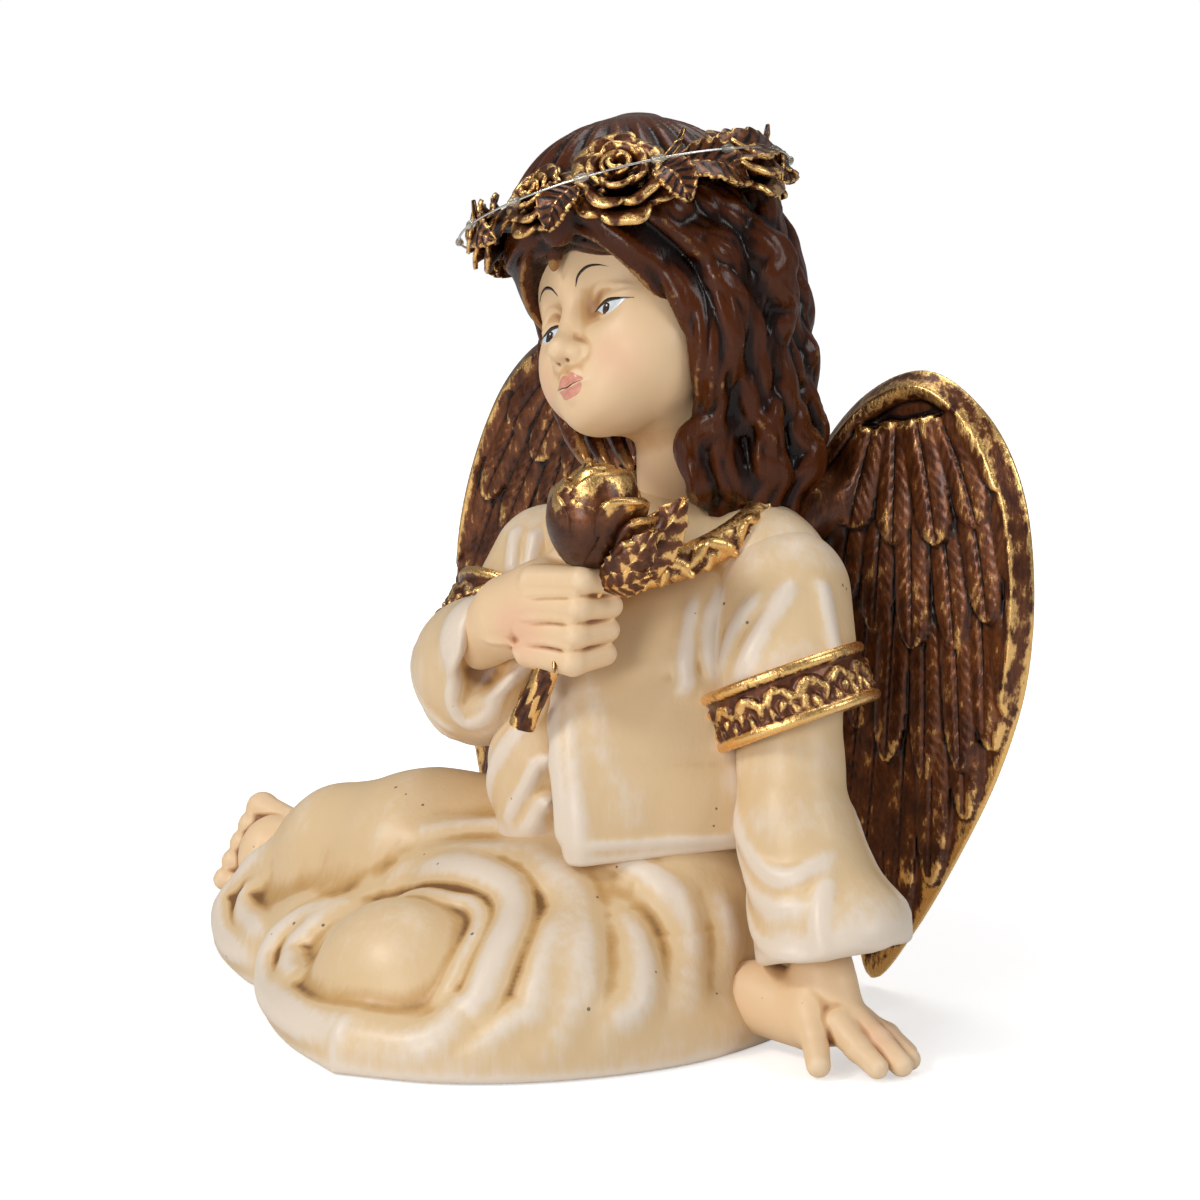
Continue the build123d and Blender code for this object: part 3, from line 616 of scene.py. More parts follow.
def hair_clay(step=0.7):
    clay = Clay((-50, -38, 124), (56, 68, 237), step)
    hair_mass(clay)
    base = Clay((-50, -38, 124), (56, 68, 237), 1.2)
    hair_mass(base)

    def laid(angles, heights, lift=0.0):
        spots = [round_axis(angle, height, 34) for angle, height in zip(angles, heights)]
        spots = base.settle(np.array(spots), 12)
        return spots + base.slope(spots) * lift

    def combed(points, radii, strands, lift=0.0, flat=0.6):
        spots = base.settle(np.array([np.asarray(p, float) for p in points]), 12)
        lock(clay, spots + base.slope(spots) * lift, radii, strands, flat=flat)

    def loose(points, radii, strands, flat, groove=0.8, after=()):
        """A lock that keeps its own line: places of the head's frame, and points after them."""
        line = [HEAD.out(p) for p in points] + list(after)
        lock(clay, line, radii, strands, flat=flat, groove=groove, loose=True, sink=0)

    # the crown's strands run from the parting down to the wreath
    for count in range(21):
        angle = -160 + 360 * count / 21
        points = [v3(-10, 18, 230), 0.5 * round_axis(angle - 22, 229, 17) + 0.5 * v3(-10, 18, 230),
                  round_axis(angle - 8, 223, 25), round_axis(angle, 208, 31)]
        combed(points, [0.8, 2.0, 3.3, 4.0], 4, 1.1, 0.85)
    # wavy locks all the way round from the left temple to the right one, in two layers
    heights = [212, 203, 193, 183, 172, 161, 150, 140]
    for count in range(19):
        angle = -10 + 205 * count / 18
        angles = [angle + 7.5 * math.sin(0.95 * k + 1.3 * count) - 2.2 * k for k in range(8)]
        last = 8 if angle < 140 else 6
        lock(clay, laid(angles[:last], heights[:last], 0.7),
             [5.0, 6.2, 6.4, 6.0, 5.6, 5.2, 4.6, 2.6][:last], 8 + count % 3, flat=0.7, groove=0.8)
    for count in range(22):
        angle = -4 + 196 * count / 21
        angles = [angle + 9 * math.sin(1.15 * k + 2.3 * count) - 2 * k for k in range(6)]
        top = (206, 196, 182, 172)[count % 4]
        lock(clay, laid(angles, [top - 11 * k for k in range(6) if top - 11 * k > 136], 2.3)
             if top > 191 else laid(angles[:4], [top - 11 * k for k in range(4)], 2.4),
             [1.2, 3.0, 3.6, 3.4, 2.8, 1.0], 5, flat=0.75)
    # room for the face and the front of the neck
    clay.limb(HEAD.out((0, 17, -7)), 22.5, HEAD.out((0, 60, -7)), 24, 0.8, cut=True)
    clay.limb(HEAD.out((4, 17, 0)), 17.5, HEAD.out((4, 60, 2)), 19, 0.8, cut=True)
    clay.limb(HEAD.out((3, 6, -26)), 11.5, (13, -8, 122), 14, 0.8, cut=True)
    # the lock that frames the face, from the parting down the cheek to the collar
    frame_line = [(2, 25, 26), (7, 27.5, 19), (12.5, 26, 16.2), (18, 22.5, 14.5), (23.5, 18, 11),
                  (27, 13, 5), (28.6, 9.5, -4), (28, 7.5, -13), (24.5, 5, -22), (18, 0, -28)]
    loose(frame_line, [3.6, 4.0, 4.0, 4.0, 4.4, 4.8, 4.8, 4.6, 4.6, 5.2, 5.0, 2.4], 7, 0.8, 1.1,
          [v3(24, 1, 146), v3(25, 4, 138)])
    loose([v3(*p) * v3(1.08, 0.86, 1.0) + v3(2.5, -3, 5) for p in frame_line],
          [4.4, 5.2, 5.4, 5.4, 5.6, 5.6, 5.6, 5.4, 5.4, 5.6, 5.4, 2.6], 8, 0.75, 1.1,
          [v3(29, 4, 148), v3(30, 8, 139)])
    combed([(18, -18, 214), (28, -9, 208), (34, 0, 199), (37, 7, 187), (36, 10, 174), (36, 11, 162),
            (38, 15, 151), (39, 20, 141)], [4.4, 5.8, 6.2, 6.2, 5.8, 5.2, 4.6, 1.8], 9, 1.8, 0.7)
    combed([(30, -2, 212), (36, 8, 203), (38, 15, 192), (38, 18, 180), (38, 19, 167), (39, 22, 155),
            (38, 26, 144)], [4.6, 6.0, 6.2, 6.0, 5.4, 4.8, 2.0], 8, 1.8, 0.7)
    # the waves at the bottom curl on to the shoulder
    for k, (x, y) in enumerate(((26, 3), (31, 8), (34, 14), (35, 22), (31, 31))):
        wave = [(x - 3, y + 4, 166 - 2 * k), (x + 2, y, 157 - 2 * k), (x - 3, y + 3, 148 - k),
                (x + 1, y + 2, 139), (x - 2, y + 3, 129)]
        combed(wave, [2.0, 5.0, 5.6, 5.4, 4.6], 7, 2.6, 0.6)
    # thin strands that cross them
    combed([(6, -24, 207), (16, -19, 201), (25, -11, 191), (29, -5, 180), (31, 0, 168), (30, 3, 156)],
           [1.0, 2.6, 3.0, 3.0, 2.6, 0.8], 4, 4.4)
    combed([(20, -14, 206), (29, -5, 196), (34, 3, 184), (34, 6, 170), (36, 9, 158), (37, 14, 147)],
           [1.0, 2.8, 3.2, 3.2, 2.8, 0.8], 4, 4.6)
    # the fringe, with one lock that dips to a point
    combed([(2, -24, 216), (0, -24, 208), (-3, -23, 201)], [5.4, 5.4, 4.4], 7, 1.0)
    loose([(10, 25.5, 28), (6, 30, 21.5), (3, 31.8, 16.8), (0.6, 31.2, 12.2)],
          [5.0, 5.0, 3.8, 1.2], 7, 0.7)
    loose([(7, 29, 19.5), (0, 30.5, 19), (-8, 29.5, 19), (-15.5, 26, 15), (-20, 22, 8)],
          [3.6, 4.4, 4.6, 4.2, 1.6], 7, 0.75)
    combed([(-6, -23, 214), (-12, -21, 206), (-19, -17, 200), (-25, -11, 194)],
           [4.6, 5.0, 4.8, 3.6], 7, 1.0)
    loose([(-8, 25, 24), (-14, 25, 19.5), (-19.5, 21, 13), (-21.5, 18.5, 7)],
          [4.4, 4.2, 3.4, 0.9], 6, 0.6)
    loose([(-18, 16, 24), (-24.5, 14.5, 15), (-27.5, 12.5, 6), (-25.5, 13, -3), (-28, 12, -8)],
          [4.8, 5.0, 4.4, 3.2, 0.9], 7, 0.75)
    loose([(-24, 6, 18), (-29.5, 7, 8), (-29, 8, -3), (-26.5, 10, -11), (-28, 11, -17)],
          [4.6, 5.0, 4.4, 3.4, 1.0], 6, 0.8)
    for start, swing in ((-6, 4), (2, -5), (9, 5)):
        loose([(-26, start - 2, 2), (-26 - swing * 0.3, start, -12), (-22, start + 3, -24),
                                          (-16, start + 5, -33)],
              [4.6, 4.8, 4.0, 1.4], 6, 0.8)
    return clay


# ---- Hands and foot ------------------------------------------------------------------------------
def right_hand_clay(step=0.42):
    clay = Clay((-28, -56, 88), (36, -14, 128), step)
    clay.limbs([((-20, -32, 98), 8.5), ((-5, -36, 106), 9.5), ((4, -37, 109), 9.5)], blend=5)
    clay.ball((7, -37, 110), (12, 8, 11), blend=5)
    for finger in range(4):
        height = 117.2 - 6.1 * finger
        knuckle = (8 - 0.6 * finger, -42.5, height - 0.6)
        bend = (22.6 - finger, -41.6, height + 0.6 - 0.8 * finger)
        clay.limb(knuckle, 4.1, bend, 3.5, blend=1.4)
        clay.limb(bend, 3.5, (25.5 - finger, -33, height - 0.4), 3.2, blend=1.0)
    clay.limbs([((-2, -32, 114), 5), ((10, -31, 121), 4.2), ((18, -31, 123.5), 3.4)], blend=3)
    for finger in range(3):
        height = 114.2 - 6.1 * finger
        clay.pleat([(6, -46, height - 0.6), (14, -45, height),
                    (23 - finger, -44, height + 0.5 - 0.8 * finger)], 1.0, 2.2, (0.35, 0.05))
    clay.pleat([(-8, -44, 101), (-2, -45, 100), (6, -45, 98)], 1.4, 0.8, (0.4, 0.4))
    return clay


def left_hand_clay(step=0.42):
    clay = Clay((58, -36, -3), (108, 12, 38), step)
    clay.limbs([((70, -9, 34), 8.2), ((76, -12, 20), 6.6), ((84, -14, 11), 6.0)], blend=5)
    for knuckle, bend, tip, radius in [
        ((76, -17, 15), (81, -23, 9), (86, -28, 3.4), 3.5),
        ((85, -18, 11), (92, -20, 7), (98, -20.5, 3.4), 3.2),
        ((87, -14, 11), (94, -14.5, 8), (101, -14.5, 3.2), 3.3),
        ((86, -10.5, 10), (93, -9.5, 7), (99.6, -9, 3.2), 3.2),
        ((84, -8, 9), (90, -5, 6.6), (95.5, -4, 3.0), 3.0),
    ]:
        clay.limbs([(knuckle, radius + 1.2), (bend, radius), (tip, radius * 0.86)], blend=1.2)
    clay.limbs([((59, -13, 12), 9.5), ((74, -16, 10), 7.5)], blend=6)
    clay.half_space((0, 0, 0.2), (0, 0, -1), 0.8)
    return clay


def left_foot_clay(step=0.42):
    clay = Clay((-126, -48, 6), (-82, -4, 48), step)
    clay.limbs([((-94, -22, 23), 11), ((-105, -22, 27), 10.5)], blend=4)
    clay.ball((-108, -25, 25), (7, 9, 11), blend=5)
    for toe in range(5):
        share = toe / 4
        radius = 4.6 - 1.5 * share
        root = v3(-106 - 3 * share, -19 - 9 * share, 35.5 - 17.5 * share)
        tip = v3(-115.5 - 3.4 * share, -19.4 - 12 * share, 38 - 19 * share)
        clay.limb(root, radius * 0.9, tip, radius * 0.92, blend=0.9)
        clay.ball(tip + v3(-0.6, 0, 0), radius, blend=1.2)
        clay.ball(tip + v3(-0.6 * radius, -0.72 * radius, 0.45 * radius), (0.9, 0.9, 0.7),
                  blend=0.8, cut=True)
    clay.pleat([(-104, -31, 31), (-108, -33, 24), (-109, -33, 17)], 1.4, 0.9, (0.3, 0.3))
    return clay


# ---- Bands of gold leafwork ----------------------------------------------------------------------
def ring_points(centre, axis, radius, count=60):
    """Points round a circle, and the outward direction at each."""
    axis = unit(axis)
    first = unit(np.cross(axis, (0.3, 1, 0.2)))
    second = np.cross(axis, first)
    angles = np.linspace(0, 2 * math.pi, count, endpoint=False)[:, None]
    out = np.cos(angles) * first + np.sin(angles) * second
    return np.asarray(centre) + radius * out, out


def leafwork(clay, points, outward, lean=34, size=(3.5, 1.5, 1.25)):
    """Small raised leaves along a closed line, leaning up and down by turns, with a round bump near
    each one's tip.
    """
    for k in range(len(points)):
        along = unit(points[(k + 1) % len(points)] - points[k - 1])
        out = unit(outward[k])
        over = np.cross(out, along)
        angle = math.radians(lean if k % 2 else -lean)
        length = math.cos(angle) * along + math.sin(angle) * over
        width = np.cross(out, length)
        clay.ball(points[k], size, np.stack([length, width, out], axis=1), blend=0.5)
        clay.ball(points[k] + 0.62 * size[0] * length + out * 0.3, 1.0, blend=0.5)


LEFT_BAND = ((53.8, 3.0, 86), (-0.42, -0.06, 1), 19.8, 7.0)
RIGHT_BAND = ((-39.6, 2.0, 94.2), (5, 24, 31), 18.2, 7.4)


def arm_band_clay(centre, axis, radius, half_width, step=0.45):
    """A band round an arm: a wall with two rails and two rows of leafwork between them."""
    centre, axis = v3(*centre), unit(axis)
    reach = radius + 8
    clay = Clay(centre - reach, centre + reach, step)
    where, x, y, z = clay.part(clay.low, clay.low + clay.step * clay.count)
    x, y, z = x - centre[0], y - centre[1], z - centre[2]
    level = x * axis[0] + y * axis[1] + z * axis[2]
    out = np.sqrt(np.maximum(x * x + y * y + z * z - level**2, 0))
    wall = np.maximum(np.abs(out - radius + 1.6) - 2.2, np.abs(level) - half_width)
    for side in (-1, 1):
        rail = np.sqrt((out - radius - 0.6) ** 2 + (level - side * (half_width - 0.8)) ** 2) - 1.55
        wall = soft_min(wall, rail, 0.8)
    clay.put(where, wall.astype(np.float32))
    middle, away = ring_points(centre, axis, radius + 0.6, 30)
    leafwork(clay, middle + axis * 1.0, away, lean=40, size=(3.4, 1.5, 1.1))
    lower, away = ring_points(centre - axis * 2.6, axis, radius + 0.5, 44)
    leafwork(clay, lower, away, lean=70, size=(1.9, 0.9, 0.9))
    return clay


def collar_clay(step=0.45):
    clay = Clay((-32, -38, 100), (50, 50, 156), step)
    tilt = turn("x", 26)
    angles = np.radians(np.arange(0, 360, 6.0))
    flat = np.stack([26.5 * np.cos(angles), 29 * np.sin(angles), 0 * angles], axis=1)
    line = flat @ tilt.T + v3(9.5, 8.5, 128.5)
    out = unit_rows(flat @ tilt.T * v3(1, 1, 0.2) + v3(0, 0, 0.5))
    for a, b in zip(line, np.roll(line, -1, axis=0)):
        clay.limb(a - v3(0, 0, 1.6), 2.7, b - v3(0, 0, 1.6), 2.7, blend=1)
        clay.limb(a + v3(0, 0, 1.8), 2.4, b + v3(0, 0, 1.8), 2.4, blend=1)
    leafwork(clay, line[::2] + out[::2] * 2.3 + v3(0, 0, 0.8), out[::2], lean=38, size=(4.4, 1.8, 1.3))
    leafwork(clay, line[1::2] + out[1::2] * 2.3 - v3(0, 0, 2.2), out[1::2], lean=60,
             size=(2.6, 1.2, 1.1))
    return clay


def unit_rows(rows):
    return rows / (np.linalg.norm(rows, axis=1, keepdims=True) + 1e-9)


# ---- Wings ---------------------------------------------------------------------------------------
WING_OUTLINE = [
    (22, 116), (26, 138), (42, 158), (62, 166), (80, 156), (91, 138), (95, 114), (93.5, 88),
    (86, 64), (74, 40), (60, 17), (47.5, 3), (42, 20), (36, 48), (29, 86),
]
WING_PLANE = 50.0
WING_PIVOT = (28.0, 131.0)                  # the place that a wing is turned about, in its plane
LEFT_WING, RIGHT_WING = (1, 0, 1.0), (-1, 19, 0.97)     # side, degrees it swings out, size
# rows of feathers: how many, the line of their roots, their tips, width and level
FEATHER_ROWS = [
    (9, ((33, 104), (86, 116)),
     [(31, 76), (37.5, 44), (43, 20), (48, 5), (59, 18), (71, 38), (83, 62), (92, 90)], 5.2, 0.9),
    (8, ((33, 120), (86, 130)), [(31, 92), (44, 70), (60, 60), (76, 62), (90, 84)], 5.2, 1.8),
    (7, ((35, 134), (84, 144)), [(28, 112), (44, 100), (62, 94), (80, 98), (92, 114)], 5.4, 2.7),
    (6, ((40, 147), (78, 154)), [(30, 130), (44, 124), (60, 121), (78, 125), (90, 138)], 5.6, 3.5),
]


def wing_relief(x, z):
    """How thick each half of the wing is over a grid of places in its plane."""
    best = np.full(x.shape, 0.9, np.float32)
    for number, roots, tips, width, level in FEATHER_ROWS:
        tips = curve([v3(*tip) for tip in tips], 0.5)
        for feather in range(number):
            share = feather / (number - 1)
            root = v3(*roots[0]) * (1 - share) + v3(*roots[1]) * share
            tip = tips[int(round(share * (len(tips) - 1)))]
            along = tip - root
            length = np.linalg.norm(along)
            along = along / length
            s = ((x - root[0]) * along[0] + (z - root[1]) * along[1]) / length
            w = (x - root[0]) * -along[1] + (z - root[1]) * along[0]
            w = w - 2.2 * np.sin(np.pi * np.clip(s, 0, 1)) * (share - 0.4)
            half = width * np.sqrt(np.clip(1 - (np.maximum(s - 0.72, 0) / 0.28) ** 2, 0, 1))
            inside = (s > -0.12) & (s < 1) & (np.abs(w) < half)
            arch = 1 - (w / np.maximum(half, 0.4)) ** 2
            barbs = np.abs(np.sin((s * length - 1.3 * np.abs(w)) * 0.95)) ** 0.7
            height = (level + 1.1 * s + 1.0 * np.sqrt(np.clip(arch, 0, 1))
                      + 0.55 * barbs * np.clip(arch, 0, 0.6) - 0.9 * np.exp(-((w / 0.6) ** 2))
                      + 0.5 * (feather % 2))
            best = np.where(inside & (height > best), height, best)
    return best


def wing_clay(side, swing, size, step=0.6):
    """A wing's plate of feathers. side is 1 for the left one and -1 for the right one."""
    angle = math.radians(swing)
    low, high = ((8, 24, -1), (102, 58, 172)) if side > 0 else ((-102, 24, 2), (-6, 58, 172))
    clay = Clay(low, high, step)
    where, x, y, z = clay.part(clay.low, clay.low + clay.step * clay.count)
    # back to the left wing's own plane
    u, w = side * x[:, :, 0] - WING_PIVOT[0], z[:, 0, :] - WING_PIVOT[1]
    across = (u * math.cos(angle) + w * math.sin(angle)) / size + WING_PIVOT[0]
    upward = (w * math.cos(angle) - u * math.sin(angle)) / size + WING_PIVOT[1]
    thick = wing_relief(across, upward)
    ring = curve([*WING_OUTLINE, WING_OUTLINE[0]], 2.0)[:-1]
    near, inside = np.full(across.shape, 1e9), np.zeros(across.shape, bool)
    lead = np.full(across.shape, 1e9)
    for (ax, az), (bx, bz) in zip(ring, np.roll(ring, -1, axis=0)):
        ex, ez = bx - ax, bz - az
        t = np.clip(((across - ax) * ex + (upward - az) * ez) / (ex * ex + ez * ez + 1e-9), 0, 1)
        gap = (across - ax - t * ex) ** 2 + (upward - az - t * ez) ** 2
        near = np.minimum(near, gap)
        if az > 86 and (ax > 33 or az > 128):
            lead = np.minimum(lead, gap)
        edge = ex * (upward - az) / (ez if ez else 1e-9) + ax
        inside ^= ((az > upward) != (bz > upward)) & (across < edge)
    depth = np.sqrt(near) * np.where(inside, 1, -1)
    roll = 5.2 * np.sqrt(np.clip(1 - ((np.sqrt(lead) - 2.8) / 4.2) ** 2, 0, 1))
    thick = np.maximum(thick, roll)
    thick = np.minimum(thick, 1.2 + depth * 1.3)
    distance = (np.abs(y - WING_PLANE) - thick[:, None, :]) * 0.75
    clay.put(where, distance.astype(np.float32))
    if side > 0:
        root, hub = (24, 33, 122), (38, WING_PLANE, 134)
    else:
        root, hub = (-18, 33, 121), (-30, WING_PLANE, 132)
    clay.limb(root, 8, hub, 7, blend=4)
    return clay


# ---- Flowers, leaves and twigs -------------------------------------------------------------------
def frame_of(axis, hint=(0.2, 0.3, 1)):
    """Three unit directions, the last one along axis."""
    axis = unit(axis)
    side = np.cross(axis, hint)
    side = unit(side if np.linalg.norm(side) > 0.1 else np.cross(axis, (1, 0, 0)))
    return np.stack([side, np.cross(axis, side), axis], axis=1)


def sheet_faces(rows, columns, first=0, flip=False):
    """The quads of a grid of points numbered row by row."""
    i, j = np.meshgrid(np.arange(rows - 1), np.arange(columns - 1), indexing="ij")
    a = (first + i * columns + j).ravel()
    quads = np.stack([a, a + 1, a + columns + 1, a + columns], axis=1)
    return quads[:, ::-1] if flip else quads


def thick_sheet(grid, thickness, rise):
    """Points, faces and marks of a grid of points made into a plate with closed rims."""
    rows, columns = grid.shape[:2]
    du = np.gradient(grid, axis=1)
    dv = np.gradient(grid, axis=0)
    normal = np.cross(du, dv)
    normal /= np.linalg.norm(normal, axis=2, keepdims=True) + 1e-9
    half = 0.5 * thickness
    front, back = grid + normal * half, grid - normal * half
    points = np.concatenate([front.reshape(-1, 3), back.reshape(-1, 3)])
    count = rows * columns
    faces = [sheet_faces(rows, columns), sheet_faces(rows, columns, count, True)]
    index = np.arange(count).reshape(rows, columns)
    rim = np.concatenate([index[0, :-1], index[:-1, -1], index[-1, :0:-1], index[:0:-1, 0]])
    after = np.roll(rim, -1)
    faces.append(np.stack([rim, rim + count, after + count, after], axis=1))
    return points, np.concatenate(faces), np.concatenate([rise.ravel(), rise.ravel()])


class Gathered:
    """Several small plates collected into one piece."""

    def __init__(self):
        self.points, self.faces, self.rise, self.count = [], [], [], 0

    def add(self, points, faces, rise=None):
        self.points.append(points)
        self.faces.append(faces + self.count)
        self.rise.append(np.zeros(len(points)) if rise is None else rise)
        self.count += len(points)

    def add_sheet(self, grid):
        """A grid of points as a thin sheet."""
        self.add(grid.reshape(-1, 3), sheet_faces(*grid.shape[:2]))

    def add_cap(self, ring, flip=False):
        """A fan of faces that closes a ring of points."""
        rim, hub = np.arange(len(ring)), np.full(len(ring), len(ring))
        ends = (np.roll(rim, -1), rim) if flip else (rim, np.roll(rim, -1))
        self.add(np.concatenate([ring, ring.mean(axis=0)[None]]), np.stack([*ends, hub, hub], axis=1))

    def piece(self, name):
        rise = np.concatenate(self.rise)
        return make_mesh(name, np.concatenate(self.points), np.concatenate(self.faces),
                         {"fine": rise, "broad": rise})


def petal(gathered, centre, axes, facing, width, inner, outer, bottom, top, curl, thickness=0.9,
          crimp=0.0, swell=0.0):
    """A cupped petal. facing and width are degrees round the flower's axis."""
    u = np.linspace(-1, 1, 19)[None, :]
    v = np.linspace(0, 1, 13)[:, None]
    reach = np.sqrt(np.clip(1 - 0.55 * np.abs(u) ** 3.2, 0, 1))
    flare = 0.55 + 0.45 * np.sin(np.pi * np.clip(v * 0.5 + 0.12, 0, 1))
    angle = np.radians(facing + 0.5 * width * u * flare)
    lift = v * reach
    radius = inner + (outer - inner) * lift**0.8 + curl * np.clip(lift - 0.7, 0, 1) ** 1.4 * 6
    radius = radius + crimp * np.sin(5.0 * u + facing) * v**3 + swell * np.sin(np.pi * lift) ** 0.8
    height = bottom + (top - bottom) * lift - abs(curl) * np.clip(lift - 0.82, 0, 1) ** 1.3 * 14
    local = np.stack([radius * np.cos(angle), radius * np.sin(angle), height + 0 * angle], axis=2)
    grid = local @ axes.T + centre
    rise = -0.55 + 1.5 * np.clip(lift - 0.45, 0, 1) * 1.5 + 0.25 * np.cos(9 * u) * v
    gathered.add(*thick_sheet(grid, thickness, rise + 0 * angle))


def open_rose(centre, axis, size, spin):
    """An open rose: a wrapped heart and two rounds of petals with rolled rims."""
    axes = frame_of(axis)
    flower = Gathered()
    centre = v3(*centre)
    s = size
    for k in range(3):
        petal(flower, centre, axes, spin + 130 * k, 250, 0.10 * s, (0.14 + 0.07 * k) * s, -0.3 * s,
              (0.50 - 0.05 * k) * s, 0.03 * s, 0.085 * s)
    for k in range(4):
        petal(flower, centre, axes, spin + 40 + 90 * k, 122, 0.2 * s, (0.47 + 0.03 * (k % 2)) * s,
              -0.42 * s, (0.46 - 0.03 * k) * s, 0.07 * s, 0.1 * s, 0.02 * s)
    for k in range(5):
        petal(flower, centre, axes, spin + 15 + 72 * k, 96, 0.25 * s, (0.72 + 0.05 * (k % 2)) * s,
              -0.5 * s, (0.22 + 0.05 * (k % 2)) * s, 0.11 * s, 0.11 * s, 0.03 * s)
    for k in range(5):
        petal(flower, centre, axes, spin + 50 + 72 * k, 84, 0.3 * s, (0.9 + 0.05 * (k % 2)) * s,
              -0.55 * s, -0.08 * s, 0.12 * s, 0.11 * s, 0.04 * s)
    return flower


def leaf(gathered, spine, width, normal, thickness=1.0, cup=0.25, teeth=7):
    """A serrated leaf along a curved spine, with a midrib and side veins."""
    line = curve([v3(*p) for p in spine], 0.1)
    at = np.linspace(0, len(line) - 1, 43).astype(int)
    line = line[at]
    along = unit_rows(np.gradient(line, axis=0))
    side = unit_rows(np.cross(along, v3(*normal)))
    up = np.cross(side, along)
    s = np.linspace(0, 1, 43)[:, None]
    w = np.linspace(-1, 1, 25)[None, :]
    saw = 1 - 0.16 * ((teeth * s + 0.25) % 1.0)
    half = width * np.sin(np.pi * np.clip(s, 0.01, 1) ** 0.85) ** 0.7 * saw + 0.15
    vein = np.exp(-((w * half / 0.45) ** 2)) * 0.5
    slant = np.abs(np.sin(np.pi * teeth * (s - 0.16 * np.abs(w)))) ** 0.5
    height = cup * half * w**2 + 0.5 * vein + 0.35 * slant * (1 - w**2) ** 0.5 - 0.2
    grid = line[:, None] + side[:, None] * (w * half)[..., None] + up[:, None] * height[..., None]
    rise = 1.3 * vein + 0.9 * slant - 0.75 + 0.6 * np.abs(w) ** 6
    gathered.add(*thick_sheet(grid, thickness, rise))


def twig(gathered, points, radii, knots=0.18, turns=9):
    """A round twig with a slightly knotty bark."""
    line = curve([v3(*p) for p in points], 1.0)
    share = np.linspace(0, 1, len(line))
    radius = np.interp(share, np.linspace(0, 1, len(radii)), radii)
    along = unit_rows(np.gradient(line, axis=0))
    side = unit_rows(np.cross(along, (0.21, 0.34, 0.91)))
    over = np.cross(along, side)
    angle = np.linspace(0, 2 * np.pi, 19)[None, :]
    row = np.arange(len(line))[:, None]
    bark = (1 + knots * np.sin(3 * angle + 0.55 * row) * 0.6
            + knots * np.sin(turns * angle + 0.2 * row) * 0.5)
    size = radius[:, None] * bark
    grid = (line[:, None] + side[:, None] * (np.cos(angle) * size)[..., None]
            + over[:, None] * (np.sin(angle) * size)[..., None])
    rise = ((bark - 1) / max(knots, 1e-3) * 1.2).ravel()
    gathered.add(grid.reshape(-1, 3), sheet_faces(*grid.shape[:2]), rise)
    gathered.add_cap(grid[0, :-1])
    gathered.add_cap(grid[-1, :-1], flip=True)


# the wreath lies tilted with the head; its angles go from the figure's left round to its back
WREATH_CENTRE, WREATH_RADIUS = v3(-5, 8, 210), 37.0
WREATH_TURN = turn("y", -18) @ turn("z", -6)


def on_wreath(angle, out, up):
    across = v3(out * math.cos(math.radians(angle)), out * math.sin(math.radians(angle)), up)
    return WREATH_CENTRE + WREATH_TURN @ across


def wreath_way(angle, lean=0.6):
    """The direction out of the wreath at an angle, leaning upwards."""
    return on_wreath(angle, 1, lean) - WREATH_CENTRE


ROSE_SIZE = 8.9
# angle round the wreath, size, how far it looks upwards, and how far it is spun, for each rose
ROSES = [(228, 1.15, 0.35, 10), (280, 1.15, 0.8, 40), (315, 1.5, 0.55, 75), (10, 1.45, 0.9, 20),
         (60, 1.2, 0.5, 0), (146, 1.2, 0.5, 55)]
# angle round the wreath, how far it trails sideways, and its size, for each leaf
WREATH_LEAVES = [(200, -9, 0.9), (246, 10, 0.9), (298, -8, 1.1), (330, 4, 1.1), (338, 16, 1.3),
                 (344, 30, 1.0), (28, 12, 0.9), (40, -8, 0.9), (80, 9, 0.9), (98, -9, 1.0),
                 (124, 9, 0.9), (170, -9, 0.9), (182, 10, 0.9)]


def wreath_pieces():
    roses = []
    for number, (angle, size, lean, spin) in enumerate(ROSES, start=1):
        middle = on_wreath(angle, WREATH_RADIUS + 0.6 * size, 3.4 - 2.6 * size)
        flower = open_rose(middle, wreath_way(angle, lean), ROSE_SIZE * size, spin)
        roses.append(flower.piece(f"wreath_rose_{number}_petals"))
    leaves = Gathered()
    for angle, trail, size in WREATH_LEAVES:
        root = on_wreath(angle, 38.5, 0)
        tip = on_wreath(angle + trail * 1.5, 42.5, -12 * size + 0.45 * abs(trail))
        middle = on_wreath(angle + trail * 0.8, 43.4, -5 * size + 0.2 * abs(trail))
        leaf(leaves, [root, middle, tip], 5.0 * size, -(wreath_way(angle, 0.4)), 0.9, cup=-0.22)
    vine = Gathered()
    for phase in (0, 120, 240):
        spots = []
        for angle in range(0, 361, 12):
            wave = math.radians(angle * 6 + phase)
            spots.append(on_wreath(angle, WREATH_RADIUS + 1.6 * math.cos(wave),
                                   -1.5 + 1.8 * math.sin(wave)))
        twig(vine, spots, [1.5, 1.7, 1.4, 1.7, 1.5], 0.16)
    for angle, lift in ((243, 2), (332, 3), (20, 4), (100, 2), (190, 2)):
        twig(vine, [on_wreath(angle, 37, 0), on_wreath(angle + 5, 41, lift),
                    on_wreath(angle + 9, 42, lift + 4)], [1.3, 1.0, 0.5], 0.2)
    return roses, leaves.piece("wreath_leaf_sprays"), vine.piece("wreath_twigs")


# ---- The rose held in the hand -------------------------------------------------------------------
BLOOM = v3(22, -36.5, 133.5)


